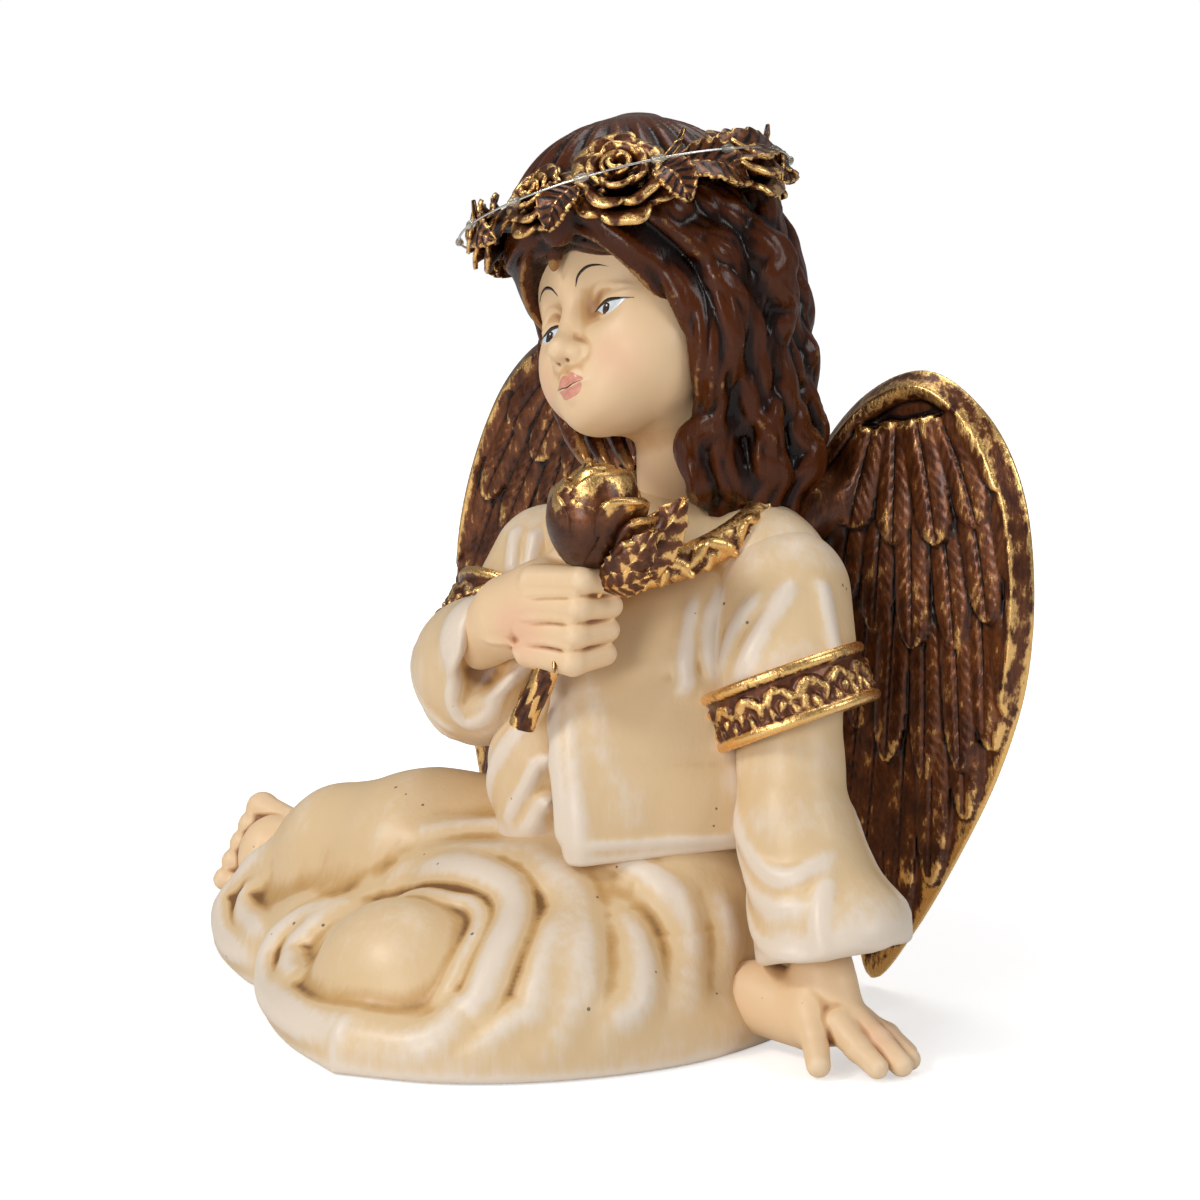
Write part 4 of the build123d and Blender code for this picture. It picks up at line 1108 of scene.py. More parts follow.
def hand_rose():
    bud = Gathered()
    axes = frame_of((0.08, 0.06, 1))
    for k in range(3):
        petal(bud, BLOOM, axes, 60 + 125 * k, 230, 2.4, 2.2 + 1.5 * k, -8, 14.0 - 0.8 * k, 0.2, 1.2,
              0, 3.4)
    for k in range(3):
        petal(bud, BLOOM, axes, 200 + 120 * k, 176, 5.0, 6.4 + 0.5 * k, -12, 12.6 - 2.0 * k, 0.35,
              1.6, 0.3, 4.6)
    petal(bud, BLOOM, axes, 300, 170, 5.4, 8.0, -13.0, 8.8, 0.3, 1.8, 0.3, 4.6)
    petal(bud, BLOOM, axes, 196, 75, 6.5, 14.2, -9, 7.6, 1.0, 1.6, 0.5, 1.0)
    petal(bud, BLOOM, axes, 226, 80, 7.0, 15.4, -10, 3.0, 1.3, 1.7, 0.5, 1.0)
    petal(bud, BLOOM, axes, 214, 60, 6.0, 14.6, -12, -3.0, 1.5, 1.6, 0.5, 1.0)
    petal(bud, BLOOM, axes, 350, 110, 4.8, 11.8, -12.5, 3.4, 0.7, 1.6, 0.4, 2.0)
    petal(bud, BLOOM, axes, 60, 140, 4.8, 9.8, -12, 6.4, 0.5, 1.6, 0.5, 3.0)
    for k in range(5):
        c, s = math.cos(1.26 * k), math.sin(1.26 * k)
        sepal = [BLOOM + v3(0, 0, -13.5), BLOOM + axes @ v3(5.4 * c, 5.4 * s, -11.4),
                 BLOOM + axes @ v3(8.6 * c, 8.6 * s, -7)]
        leaf(bud, sepal, 2.4, -(axes @ v3(c, s, -0.4)), 0.9, 0.1, 3)
    spray = Gathered()
    leaf(spray, [(27, -36, 117), (35, -32, 124), (42, -25, 138)], 6.6, (-0.5, 0.85, 0.25), 1.5, 0.4, 6)
    leaf(spray, [(26, -38, 117), (34, -39, 121), (41, -36, 131)], 5.4, (-0.35, 0.85, 0.5), 1.5, 0.35, 6)
    leaf(spray, [(26, -38, 116), (33, -38, 117), (39, -35, 120)], 4.2, (-0.2, 0.8, 0.6), 1.2, 0.3, 5)
    stem = Gathered()
    twig(stem, [(25.5, -35, 122), (20, -38.5, 110), (12.5, -41.5, 96), (7, -42.6, 86),
                (3.6, -43, 79.5)], [2.9, 3.2, 3.0, 3.1, 3.4], 0.14)
    twig(stem, [(14, -42, 99), (16.5, -44.8, 97), (17.6, -46.4, 95)], [1.6, 1.0, 0.3], 0.1)
    return (bud.piece("held_rose_petals"), spray.piece("held_rose_leaf_spray"),
            stem.piece("held_rose_stalk"))


# ---- Painted marks: thin patches that lie on the face --------------------------------------------
def on_face(clay, places, lift):
    """Points of the head's surface in front of places (x, z) of the face, lifted a little."""
    places = np.asarray(places, float)
    near = np.full(len(places), 38.0)
    for _ in range(60):
        spots = HEAD.out(np.stack([places[:, 0], near, places[:, 1]], axis=1))
        near = near - np.clip(clay.sample(spots) * 0.7, -1.5, 1.5)
    spots = HEAD.out(np.stack([places[:, 0], near, places[:, 1]], axis=1))
    return spots + clay.slope(spots) * lift


def patch(gathered, clay, outline, lift):
    """A filled patch inside an outline of (x, z) on the face."""
    ring = curve([*outline, outline[0]], 0.25)[:-1]
    middle = ring.mean(axis=0)
    shares = np.array([0.05, 0.35, 0.65, 0.9, 1.0])
    lifts = np.array([1.0, 1.0, 1.0, 0.9, -0.6]) * lift
    rows = [on_face(clay, middle + share * (ring - middle), rise) for share, rise in zip(shares, lifts)]
    grid = np.stack([np.concatenate([row, row[:1]]) for row in rows])
    gathered.add_sheet(grid)
    gathered.add_cap(rows[0])


def brush_line(gathered, clay, points, width, lift=0.16):
    """A tapering painted line through points (x, z) on the face."""
    line = curve(points, 0.25)
    share = np.linspace(0, 1, len(line))
    half = 0.5 * width * np.clip(np.sin(np.pi * share**0.8), 0.08, 1)
    along = unit_rows(np.gradient(line, axis=0))
    across = np.stack([-along[:, 1], along[:, 0]], axis=1)
    rows = [on_face(clay, line + across * (half * k)[:, None], lift * rise)
            for k, rise in ((-1.3, -0.6), (-0.8, 0.9), (0, 1), (0.8, 0.9), (1.3, -0.6))]
    gathered.add_sheet(np.stack(rows))


def disc(x, z, radius_x, radius_z, count=28):
    angles = np.linspace(0, 2 * np.pi, count, endpoint=False)
    return [(x + radius_x * math.cos(a), z + radius_z * math.sin(a)) for a in angles]


def mirrored(side, places):
    """Places (x, z) of the face's left half, or their mirror images where side is -1."""
    return [(side * x, z) for x, z in places]


def face_paint(clay):
    """The painted eyes, brows and lips."""
    whites, dark, glint, lips = Gathered(), Gathered(), Gathered(), Gathered()
    for side in (-1, 1):
        opening = [(6.6, -0.5), (9.0, 0.2), (12.0, 0.2), (15.2, -0.3), (17.3, -0.5), (15.6, -1.9),
                   (12.6, -3.1), (9.4, -2.5)]
        lashes = [(6.0, -0.9), (8.2, 0.2), (11.4, 0.6), (14.6, 0.1), (18.8, -0.9)]
        brow = [(3.6, 6.4), (5.4, 8.9), (8.4, 10.2), (11.4, 9.9), (14.0, 8.7)]
        patch(whites, clay, mirrored(side, opening), 0.10)
        patch(dark, clay, disc(side * 11.6 - 1.0, -1.3, 1.7, 1.6), 0.17)
        patch(glint, clay, disc(side * 11.6 - 0.7, -0.6, 0.34, 0.34, 12), 0.24)
        brush_line(dark, clay, mirrored(side, lashes), 0.9, 0.22)
        brush_line(dark, clay, mirrored(side, brow), 0.75)
    patch(lips, clay, [(-5.5, -19.1), (-3.6, -17.3), (-1.5, -16.0), (0, -16.7), (1.5, -16.0),
                       (3.6, -17.3), (5.5, -19.1), (3.0, -19.4), (0, -19.7), (-3.0, -19.4)], 0.09)
    patch(lips, clay, [(-4.6, -19.5), (-2.6, -19.8), (0, -20.0), (2.6, -19.8), (4.6, -19.6),
                       (3.3, -21.9), (0, -22.9), (-3.3, -21.9)], 0.09)
    brush_line(dark, clay, [(-4.6, -19.2), (-2.0, -19.4), (0, -19.8), (2.0, -19.4), (4.6, -19.2)],
               0.3, 0.12)
    return [whites.piece("eye_whites"), dark.piece("painted_lines"), glint.piece("eye_glints"),
            lips.piece("lips_paint")]


# ---- The light wire and its beads ----------------------------------------------------------------
WIRE_RADIUS, BEAD_COUNT = 0.3, 12
BEAD_GRID = (21, 25)                        # rings along a bead and points round it
FIRST_BEAD, BEADED_SHARE = 0.06, 0.92       # shares of the wire before the beads, and with them
WIRE_ROUTE = [(7, 45, 200), (7, 57, 200), on_wreath(74, 47, -2),
              *[on_wreath(a, 45.6, 0) for a in range(50, -256, -28)]]


def light_wire():
    data = bpy.data.curves.new("light_wire", "CURVE")
    data.dimensions = "3D"
    data.bevel_depth = WIRE_RADIUS * MM
    data.bevel_resolution = 3
    data.use_fill_caps = True
    spline = data.splines.new("NURBS")
    spline.points.add(len(WIRE_ROUTE) - 1)
    for point, place in zip(spline.points, WIRE_ROUTE):
        point.co = (*(np.asarray(place, float) * MM), 1)
    spline.order_u = 3
    spline.use_endpoint_u = True
    spline.resolution_u = 16
    wire = bpy.data.objects.new("light_wire", data)
    bpy.context.collection.objects.link(wire)
    return wire


def centreline(wire):
    """Points along a curve's own line, in millimetres."""
    bare = wire.data.copy()
    bare.bevel_depth = 0
    holder = bpy.data.objects.new("bare", bare)
    mesh = bpy.data.meshes.new_from_object(holder)
    points = np.empty(len(mesh.vertices) * 3)
    mesh.vertices.foreach_get("co", points)
    bpy.data.objects.remove(holder)
    bpy.data.meshes.remove(mesh)
    bpy.data.curves.remove(bare)
    return points.reshape(-1, 3) / MM


def light_beads(line):
    """Small clear drops moulded round the wire, each with a waist where it grips it."""
    run = np.concatenate([[0], np.cumsum(np.linalg.norm(np.diff(line, axis=0), axis=1))])
    beads = Gathered()
    for number in range(BEAD_COUNT):
        at = run[-1] * (FIRST_BEAD + BEADED_SHARE * (number + 0.5) / BEAD_COUNT)
        middle = np.array([np.interp(at, run, line[:, k]) for k in range(3)])
        ahead = np.array([np.interp(at + 0.5, run, line[:, k]) for k in range(3)]) - middle
        axes = frame_of(ahead)
        s = np.linspace(-2.0, 2.0, BEAD_GRID[0])[:, None]
        angle = np.linspace(0, 2 * np.pi, BEAD_GRID[1])[None, :]
        radius = 0.36 + 0.72 * np.sqrt(np.clip(1 - (s / 1.9) ** 2, 0, 1)) + 0.06 * np.cos(3 * angle)
        local = np.stack([radius * np.cos(angle), radius * np.sin(angle), s + 0 * angle], axis=2)
        beads.add_sheet(local @ axes.T + middle)
    return beads.piece("light_beads"), run[-1]


# ---- Camera, light and floor ---------------------------------------------------------------------
CAMERA_AZIMUTH, CAMERA_REACH, CAMERA_HEIGHT, CAMERA_TILT = 40.0, 780.0, 216.0, 8.0
AIM_OFFSET = 5.0
CAMERA_LENS, CAMERA_NEAREST = 90, 0.05      # mm and m


def add_camera():
    ahead = turn("z", CAMERA_AZIMUTH) @ v3(0, 1, 0)
    side = turn("z", CAMERA_AZIMUTH) @ v3(1, 0, 0)
    eye = -CAMERA_REACH * ahead - AIM_OFFSET * side + v3(0, 0, CAMERA_HEIGHT)
    data = bpy.data.cameras.new("camera")
    data.lens = CAMERA_LENS
    data.clip_start = CAMERA_NEAREST
    camera = bpy.data.objects.new("camera", data)
    bpy.context.collection.objects.link(camera)
    camera.location = eye * MM
    camera.rotation_euler = (math.radians(90 - CAMERA_TILT), 0, math.radians(CAMERA_AZIMUTH))
    bpy.context.scene.camera = camera


def add_light(name, place, aim, size, power, colour):
    data = bpy.data.lights.new(name, "AREA")
    data.energy, data.size, data.color = power, size, colour
    lamp = bpy.data.objects.new(name, data)
    bpy.context.collection.objects.link(lamp)
    lamp.location = place
    lamp.rotation_euler = (Vector(aim) - Vector(place)).to_track_quat("-Z", "Y").to_euler()


# ---- Materials -----------------------------------------------------------------------------------
class Paint:
    """A procedural material: helpers that add nodes and give back their outputs."""

    def __init__(self, name):
        self.material = bpy.data.materials.new(name)
        self.material.use_nodes = True
        self.tree = self.material.node_tree
        self.shader = self.tree.nodes["Principled BSDF"]
        self.place = self.node("ShaderNodeTexCoord").outputs["Object"]

    def node(self, kind, **settings):
        made = self.tree.nodes.new(kind)
        for key, value in settings.items():
            setattr(made, key, value)
        return made

    def feed(self, socket, value):
        if isinstance(value, bpy.types.NodeSocket):
            self.tree.links.new(value, socket)
        else:
            if isinstance(value, tuple) and len(value) == 3 and socket.type == "RGBA":
                value = (*value, 1)
            socket.default_value = value

    def mark(self, name):
        return self.node("ShaderNodeAttribute", attribute_name=name).outputs["Fac"]

    def math(self, operation, *values, clamp=False):
        made = self.node("ShaderNodeMath", operation=operation, use_clamp=clamp)
        for socket, value in zip(made.inputs, values):
            self.feed(socket, value)
        return made.outputs[0]

    def total(self, *values):
        result = values[0]
        for value in values[1:]:
            result = self.math("ADD", result, value)
        return result

    def times(self, value, factor):
        return self.math("MULTIPLY", value, factor)

    def weigh(self, *shares):
        """The sum of some values, each times its factor."""
        return self.total(*[self.times(value, factor) for value, factor in shares])

    def span(self, value, low, high):
        """0 at low and 1 at high, held between."""
        made = self.node("ShaderNodeMapRange", interpolation_type="SMOOTHSTEP")
        for socket, given in zip(made.inputs, (value, low, high, 0.0, 1.0)):
            self.feed(socket, given)
        return made.outputs[0]

    def noise(self, size_mm, detail=4.0, rough=0.55, stretch=(1, 1, 1)):
        """Noise from -0.5 to 0.5, whose blotches are about size_mm across."""
        scaled = self.node("ShaderNodeMapping")
        self.feed(scaled.inputs["Vector"], self.place)
        scaled.inputs["Scale"].default_value = stretch
        made = self.node("ShaderNodeTexNoise")
        self.feed(made.inputs["Vector"], scaled.outputs[0])
        made.inputs["Scale"].default_value = 1000.0 / size_mm
        made.inputs["Detail"].default_value = detail
        made.inputs["Roughness"].default_value = rough
        return self.math("SUBTRACT", made.outputs["Fac"], 0.5)

    def specks(self, spacing_mm, size):
        """1 inside small round specks. Their cells are spacing_mm wide and most stay empty."""
        made = self.node("ShaderNodeTexVoronoi")
        self.feed(made.inputs["Vector"], self.place)
        made.inputs["Scale"].default_value = 1000.0 / spacing_mm
        chosen = self.node("ShaderNodeSeparateColor")
        self.feed(chosen.inputs[0], made.outputs["Color"])
        reach = self.times(self.span(chosen.outputs[0], 0.62, 1.0), size)
        return self.span(self.math("SUBTRACT", reach, made.outputs["Distance"]), 0.0, 0.03)

    def near(self, spot_mm, radius_mm):
        """1 at a spot and 0 beyond a radius from it."""
        gap = self.node("ShaderNodeVectorMath", operation="DISTANCE")
        self.feed(gap.inputs[0], self.place)
        gap.inputs[1].default_value = tuple(np.asarray(spot_mm, float) * MM)
        return self.span(gap.outputs["Value"], radius_mm * MM, 0.15 * radius_mm * MM)

    def mix(self, share, a, b):
        made = self.node("ShaderNodeMix", data_type="RGBA", clamp_factor=True)
        self.feed(made.inputs[0], share)
        self.feed(made.inputs[6], a)
        self.feed(made.inputs[7], b)
        return made.outputs[2]

    def tint(self, colour, spot_mm, radius_mm, share, tone):
        """A colour with a share of a tone laid over it near a spot."""
        return self.mix(self.times(self.near(spot_mm, radius_mm), share), colour, tone)

    def bump(self, height, depth_mm):
        made = self.node("ShaderNodeBump")
        made.inputs["Strength"].default_value = 1.0
        made.inputs["Distance"].default_value = depth_mm * MM
        self.feed(made.inputs["Height"], height)
        self.feed(self.shader.inputs["Normal"], made.outputs[0])

    def set(self, **values):
        for key, value in values.items():
            self.feed(self.shader.inputs[key.replace("_", " ")], value)
        return self.material


def robe_paint():
    """Ivory resin, with ochre in the folds that is partly a wash and partly painted shade, near-black
    painted shade in the deepest folds, and pearl over the high places that is partly pearl paint and
    partly painted highlight.
    """
    p = Paint("cream_robe")
    fine, broad = p.mark("fine"), p.mark("broad")
    blotch, grain = p.noise(9, 5), p.noise(1.4, 3)
    stroke = p.noise(2.2, 4, 0.6, (1, 1, 0.22))
    low = p.weigh((fine, -2.3), (broad, -2.4), (blotch, 0.42), (stroke, 0.25))
    high = p.weigh((fine, 1.0), (broad, 1.5), (stroke, 0.55), (blotch, 0.3))
    # ochre in the folds: partly a wash and partly painted shade
    colour = p.mix(p.span(low, -0.05, 0.42), (0.77, 0.56, 0.32), (0.60, 0.355, 0.135))
    # near-black in the deepest folds: painted shade
    colour = p.mix(p.span(low, 0.36, 0.85), colour, (0.22, 0.10, 0.028))
    # pearl over the high places: partly pearl paint and partly painted highlight
    colour = p.mix(p.times(p.span(high, 0.12, 0.65), 0.8), colour, (0.84, 0.74, 0.64))
    colour = p.mix(p.times(p.specks(5.5, 0.10), 0.8), colour, (0.07, 0.035, 0.015))
    colour = p.mix(p.times(p.specks(19, 0.05), 0.8), colour, (0.62, 0.36, 0.10))
    p.bump(p.weigh((stroke, 1.0), (grain, 0.5), (p.specks(5.5, 0.10), -1.2)), 0.12)
    rough = p.total(0.42, p.times(stroke, 0.2))
    return p.set(Base_Color=colour, Roughness=rough, Coat_Weight=0.12, Coat_Roughness=0.3)


def skin_paint():
    """Warm flesh, with brown in the hollows that is partly a wash and partly painted shade, a painted
    highlight on the raised places, and a blush on cheeks and knuckles.
    """
    p = Paint("skin")
    fine, broad = p.mark("fine"), p.mark("broad")
    blotch, stroke = p.noise(12, 4), p.noise(1.8, 4, 0.6, (1, 1, 0.25))
    low = p.weigh((fine, -3.2), (broad, -1.2), (blotch, 0.25), (stroke, 0.15))
    # brown in the hollows: partly a wash and partly painted shade
    colour = p.mix(p.span(low, -0.1, 0.35), (0.86, 0.61, 0.365), (0.66, 0.40, 0.19))
    # darkest brown in the deepest hollows: painted shade
    colour = p.mix(p.span(low, 0.33, 0.85), colour, (0.30, 0.125, 0.05))
    # lighter on the raised places: painted highlight
    colour = p.mix(p.times(p.span(p.total(fine, p.times(stroke, 0.6)), 0.1, 0.5), 0.6), colour,
                   (0.92, 0.72, 0.50))
    # the blush on both cheeks and both hands
    for spot, radius, share in ((HEAD.out((13.5, 24.5, -15)), 10, 0.22),
                                (HEAD.out((-13.5, 24.5, -15)), 10, 0.22),
                                (v3(6, -46, 104), 12, 0.28), (v3(94, -14, 9), 9, 0.22)):
        colour = p.tint(colour, spot, radius, share, (0.86, 0.33, 0.26))
    # shade beside the nose, in the nostrils, at the mouth's corners and under the lip
    for side in (-1, 1):
        colour = p.tint(colour, HEAD.out((side * 5.6, 25.5, 1.0)), 6.5, 0.45, (0.56, 0.31, 0.12))
    for side in (-1, 1):
        colour = p.tint(colour, HEAD.out((side * 1.75, 31.2, -12.9)), 1.1, 0.7, (0.16, 0.05, 0.02))
        colour = p.tint(colour, HEAD.out((side * 5.8, 26.6, -19.6)), 2.0, 0.35, (0.30, 0.12, 0.05))
        colour = p.tint(colour, HEAD.out((side * 2.8, 28.0, -23.6)), 1.8, 0.25, (0.36, 0.17, 0.07))
    colour = p.mix(p.times(p.specks(6.5, 0.07), 0.75), colour, (0.09, 0.04, 0.02))
    p.bump(p.weigh((stroke, 0.7), (p.specks(6.5, 0.07), -1.2)), 0.07)
    return p.set(Base_Color=colour, Roughness=0.5, Coat_Weight=0.08, Coat_Roughness=0.3)


def hair_paint():
    """Glossy dark brown, lighter on the raised strands as painted highlight and near-black in the
    hollows as painted shade, with gold rubbed on some of the strands.
    """
    p = Paint("hair_brown")
    fine, broad = p.mark("fine"), p.mark("broad")
    blotch, strand = p.noise(10, 4), p.noise(1.3, 4, 0.6, (1, 1, 0.3))
    low = p.weigh((fine, -1.5), (broad, -1.6), (strand, 0.2))
    high = p.weigh((fine, 1.6), (broad, 0.6), (blotch, 0.5), (strand, 0.5))
    # lighter brown on the raised strands: painted highlight
    colour = p.mix(p.span(high, -0.1, 0.5), (0.013, 0.0026, 0.0005), (0.078, 0.0175, 0.0028))
    # near-black in the hollows: painted shade
    colour = p.mix(p.span(low, 0.06, 0.5), colour, (0.0045, 0.0012, 0.0006))
    gold = p.times(p.span(p.weigh((fine, 2.2), (p.noise(3.2, 5, 0.7), 1.7)), 0.72, 1.05), 0.7)
    colour = p.mix(gold, colour, (0.50, 0.27, 0.10))
    p.bump(p.total(strand, p.times(fine, 0.5)), 0.16)
    return p.set(Base_Color=colour, Roughness=p.total(0.26, p.times(strand, 0.25)), Coat_Weight=0.12,
                 Coat_Roughness=0.08, Specular_IOR_Level=0.2, Metallic=p.times(gold, 0.8))


def gold_paint(name="antique_gold", shine=0.0, streak=(1, 1, 1), dark_base_and_shade=1.0):
    """Copper-brown antique metal: almost black in the hollows, from a dark base coat and painted shade,
    with bright leaf on what stands out.
    """
    p = Paint(name)
    fine, broad = p.mark("fine"), p.mark("broad")
    blotch, patchy = p.noise(7, 5, 0.6), p.noise(2.4, 5, 0.7, streak)
    grain = p.noise(0.9, 3, 0.6, streak)
    # how hollow a place is, scaled by the last argument: it sets the dark base coat and painted shade
    # there
    low = p.weigh((fine, -1.2 * dark_base_and_shade), (broad, -0.8 * dark_base_and_shade), (patchy, 0.5), (blotch, 0.3))
    high = p.total(p.times(fine, 0.9), p.times(broad, 0.4), p.times(patchy, 1.5),
                   p.times(blotch, 1.1), shine)
    colour = p.mix(p.span(p.weigh((patchy, 1.0), (blotch, 0.8)), -0.25, 0.3),
                   (0.060, 0.0135, 0.0036), (0.25, 0.078, 0.020))
    # almost black in the hollows: the dark base coat and painted shade
    colour = p.mix(p.span(low, 0.0, 0.5), colour, (0.007, 0.0014, 0.0006))
    leafed = p.span(high, 0.34, 0.66)
    colour = p.mix(leafed, colour, (0.98, 0.60, 0.22))
    p.bump(p.weigh((patchy, 0.8), (grain, 0.5), (leafed, 0.35)), 0.22)
    metal = p.math("ADD", 0.5, p.times(leafed, 0.5), clamp=True)
    rough = p.total(0.34, p.times(grain, 0.3), p.times(leafed, -0.06))
    return p.set(Base_Color=colour, Metallic=metal, Roughness=rough, Coat_Weight=0.25,
                 Coat_Roughness=0.18)


def simple_paint(name, colour, second, size_mm, rough, bump_mm=0.03, metal=0.0, coat=0.0,
                 stretch=(1, 1, 1)):
    """A plain moulded or metal surface with a faint mottle, fine scratches and bump."""
    p = Paint(name)
    mottle, grain = p.noise(size_mm, 4, 0.6, stretch), p.noise(size_mm * 0.18, 3, 0.6, stretch)
    colour = p.mix(p.span(p.total(mottle, p.times(grain, 0.4)), -0.25, 0.25), colour, second)
    p.bump(p.total(grain, p.times(mottle, 0.4)), bump_mm)
    return p.set(Base_Color=colour, Roughness=p.total(rough, p.times(grain, 0.25)), Metallic=metal,
                 Coat_Weight=coat)


def bead_paint():
    p = Paint("clear_bead")
    swirl = p.noise(0.9, 3)
    colour = p.mix(p.span(swirl, -0.3, 0.3), (0.95, 0.93, 0.84), (0.84, 0.80, 0.66))
    p.bump(swirl, 0.02)
    return p.set(Base_Color=colour, Roughness=0.08, Transmission_Weight=0.85, IOR=1.5)


def coat(piece, material):
    piece.data.materials.clear()
    piece.data.materials.append(material)


# ---- Making everything ---------------------------------------------------------------------------
add_camera()
wire = light_wire()
wire_line = centreline(wire)
beads, wire_length = light_beads(wire_line)

cream, skin, brown = robe_paint(), skin_paint(), hair_paint()
gold = gold_paint(shine=0.18, dark_base_and_shade=1.5)
feather_gold = gold_paint("feather_gold", 0.10, (1, 1, 0.35), 1.3)
wreath_gold = gold_paint("wreath_gold", -0.10)
rose_gold = gold_paint("rose_gold", 0.2, dark_base_and_shade=0.2)
white_paint = simple_paint("eye_white", (0.62, 0.78, 0.90), (0.84, 0.90, 0.93), 2.5, 0.22, 0.01,
                           coat=0.6)
black_paint = simple_paint("painted_black", (0.008, 0.004, 0.003), (0.05, 0.018, 0.008), 1.2, 0.22,
                           0.01, coat=0.5)
glint_paint = simple_paint("eye_glint", (0.95, 0.95, 0.93), (0.8, 0.84, 0.86), 0.5, 0.2, 0.005)
lip_paint = simple_paint("lip_pink", (0.66, 0.245, 0.175), (0.78, 0.37, 0.27), 2.2, 0.35, 0.03,
                         coat=0.2)
steel = simple_paint("spring_steel", (0.56, 0.56, 0.55), (0.72, 0.72, 0.70), 1.2, 0.28, 0.02, metal=1.0)
silver = simple_paint("silver_wire", (0.74, 0.73, 0.70), (0.90, 0.89, 0.86), 0.8, 0.2, 0.02, metal=1.0)
dark_plastic = simple_paint("dark_plastic", (0.020, 0.019, 0.018), (0.035, 0.033, 0.031), 0.9, 0.5,
                            0.05)
cell_wrap = simple_paint("cell_wrap", (0.05, 0.052, 0.056), (0.11, 0.10, 0.085), 6, 0.3, 0.01, coat=0.3)
bead_clear = bead_paint()


def place(piece, material, slot, body, *nodes):
    """Gives a piece its material and body, and lets it stand for its CAD nodes. The slot is not used.
    """
    coat(piece, material)
    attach(piece, body)
    if nodes:
        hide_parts(*nodes)


def sculpted(name, clay, draw=None):
    """A piece made of clay, on which draw has drawn its folds."""
    if draw:
        draw(clay)
    return clay.mesh(name)


BAY_GAP = 0.35                              # left round the battery box
FLANGE_WIDTH, FLANGE_TOP = 4, 2.5           # of the box's flange, which lies in the base
BELOW = 20                                  # how far the bay is cut below the base


def cut_battery_bay(clay):
    """A shallow recess for the battery box's flange and a deep one for the box itself."""
    low, high = box_mm("battery_box")
    gap, step_in = BAY_GAP, FLANGE_WIDTH
    clay.box(low - v3(gap, gap, BELOW), v3(high[0] + gap, high[1] + gap, FLANGE_TOP), cut=True)
    clay.box(v3(low[0] + step_in - gap, low[1] + step_in - gap, -BELOW),
             v3(high[0] - step_in + gap, high[1] - step_in + gap, high[2] + gap), cut=True)


skirt = skirt_clay()
draw_skirt_folds(skirt)
cut_battery_bay(skirt)
place(skirt.mesh("robe_skirt_folds"), cream, "cream_robe", "figure", "robe_skirt")
place(sculpted("tunic_folds", tunic_clay(), draw_tunic_folds), cream, "cream_robe", "figure", "tunic")
place(sculpted("left_sleeve_folds", left_arm_clay(), draw_left_arm_folds), cream, "cream_robe",
      "figure", "left_upper_sleeve", "left_lower_sleeve")
place(sculpted("right_sleeve_folds", right_arm_clay(), draw_right_arm_folds), cream, "cream_robe",
      "figure", "right_sleeve")

face = head_clay()
draw_face_lines(face)
place(face.mesh("head_and_neck"), skin, "skin", "figure", "head")
for piece, material in zip(face_paint(face), (white_paint, black_paint, glint_paint, lip_paint)):
    place(piece, material, "skin", "figure")
place(sculpted("right_hand_skin", right_hand_clay()), skin, "skin", "figure", "right_hand")
place(sculpted("left_hand_skin", left_hand_clay()), skin, "skin", "figure", "left_hand")
place(sculpted("left_foot_skin", left_foot_clay()), skin, "skin", "figure", "left_foot")
place(sculpted("hair_locks", hair_clay()), brown, "hair_brown", "figure", "hair")

place(sculpted("collar_leafwork", collar_clay()), gold, "antique_gold", "figure", "collar_trim")
place(sculpted("left_band_leafwork", arm_band_clay(*LEFT_BAND)), gold,
      "antique_gold", "figure", "left_arm_band")
place(sculpted("right_band_leafwork", arm_band_clay(*RIGHT_BAND)), gold,
      "antique_gold", "figure", "right_arm_band")
place(sculpted("left_wing_feathers", wing_clay(*LEFT_WING)), feather_gold, "antique_gold", "figure",
      "wing_left")
place(sculpted("right_wing_feathers", wing_clay(*RIGHT_WING)), feather_gold, "antique_gold",
      "figure", "wing_right")

roses, leaf_sprays, twigs = wreath_pieces()
for number, rose in enumerate(roses, start=1):
    place(rose, wreath_gold, "antique_gold", "figure", f"wreath_rose_{number}")
place(leaf_sprays, wreath_gold, "antique_gold", "figure", "wreath_leaves")
place(twigs, wreath_gold, "antique_gold", "figure", "wreath_vine")
for piece, node in zip(hand_rose(), ("rose_bloom", "rose_leaves", "rose_stem")):
    place(piece, rose_gold, "antique_gold", "figure", node)
place(wire, silver, "silver_wire", "figure", "led_wire")
place(beads, bead_clear, "clear_bead", "figure", "led_beads")

# the battery unit and the grommet keep their CAD shape
for material, nodes in (
    (dark_plastic, ("battery_box", "battery_door", "switch_body", "switch_knob", "wire_grommet")),
    (cell_wrap, ("battery_1", "battery_2")),
    (steel, ("contact_springs", "contact_plate")),
):
    for node in nodes:
        coat(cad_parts[node], material)


# ---- Floor and light -----------------------------------------------------------------------------
FLOOR_REACH, FLOOR_DROP, FLOOR_ROWS = 3000, 0.05, 25


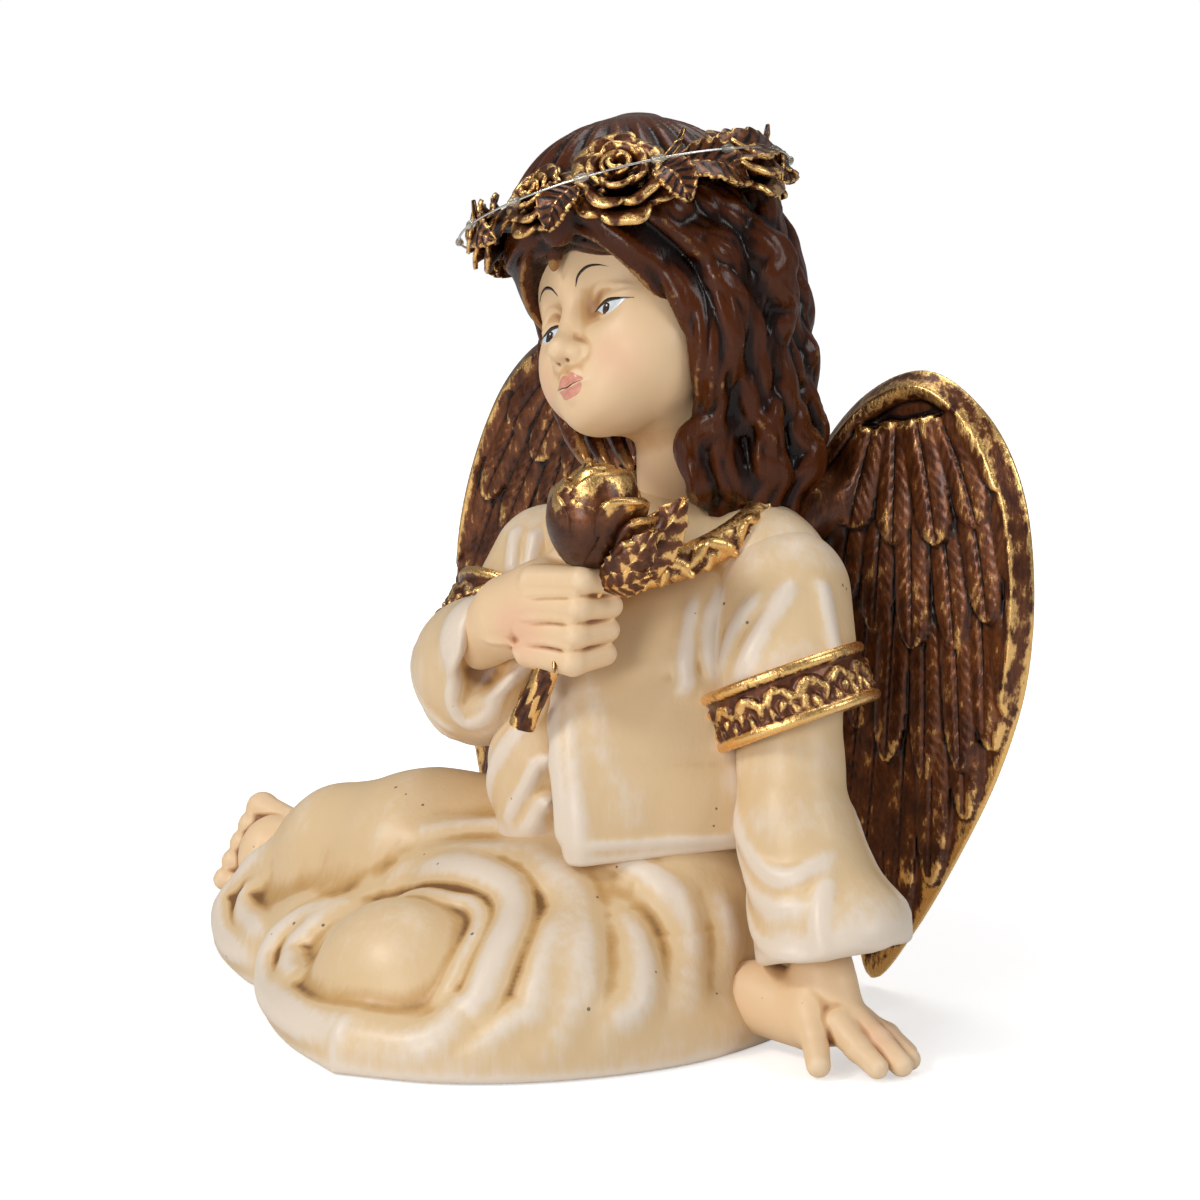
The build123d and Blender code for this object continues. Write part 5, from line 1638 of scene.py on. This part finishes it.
def floor_piece():
    rows = np.linspace(-FLOOR_REACH, FLOOR_REACH, FLOOR_ROWS)
    x, y = np.meshgrid(rows, rows, indexing="ij")
    grid = np.stack([x, y, 0 * x - FLOOR_DROP], axis=2)
    return make_mesh("floor", grid.reshape(-1, 3), sheet_faces(FLOOR_ROWS, FLOOR_ROWS, flip=True))


def floor_paint():
    """Pale paper that shades near the figure and glows white to the camera farther off."""
    p = Paint("floor")
    colour = p.mix(p.span(p.noise(260, 3), -0.3, 0.3), (0.80, 0.80, 0.80), (0.84, 0.84, 0.84))
    seen = p.node("ShaderNodeLightPath")
    # less glow near the figure: painted shade round it
    glow = p.total(0.95, p.times(p.near((0, 0, 0), 520), -0.42))
    return p.set(Base_Color=colour, Roughness=0.6, Emission_Color=(1, 1, 1), Specular_IOR_Level=0.1,
                 Emission_Strength=p.times(seen.outputs["Is Camera Ray"], glow))


floor = floor_piece()
coat(floor, floor_paint())

LIGHT_AIM = (0, 0, 0.12)
# for each lamp, where it stands (m), its size (m), its power (W) and its colour
LIGHTS = {
    "key": ((-0.42, -1.05, 1.05), 0.36, 7.8, (1.0, 0.985, 0.955)),
    "front": ((0.25, -1.25, 0.38), 0.4, 4.6, (1.0, 0.98, 0.96)),
    "fill": ((1.25, 0.15, 0.75), 0.5, 4.2, (0.97, 0.985, 1.0)),
    "top": ((-0.1, 0.35, 1.3), 0.7, 5, (1, 1, 1)),
}
for lamp_name, (stand, *form) in LIGHTS.items():
    add_light(lamp_name, stand, LIGHT_AIM, *form)

SKY_LIGHT, SKY_SEEN = 0.22, 1.0             # how bright the sky is to the scene and to the camera
world = bpy.data.worlds.new("studio")
world.use_nodes = True
bpy.context.scene.world = world
sky = world.node_tree
back = sky.nodes["Background"]
seen = sky.nodes.new("ShaderNodeLightPath")
level = sky.nodes.new("ShaderNodeMapRange")
level.inputs["To Min"].default_value = SKY_LIGHT
level.inputs["To Max"].default_value = SKY_SEEN
sky.links.new(seen.outputs["Is Camera Ray"], level.inputs["Value"])
sky.links.new(level.outputs[0], back.inputs["Strength"])
back.inputs["Color"].default_value = (1, 1, 1, 1)
bpy.context.scene.view_settings.view_transform = "Standard"
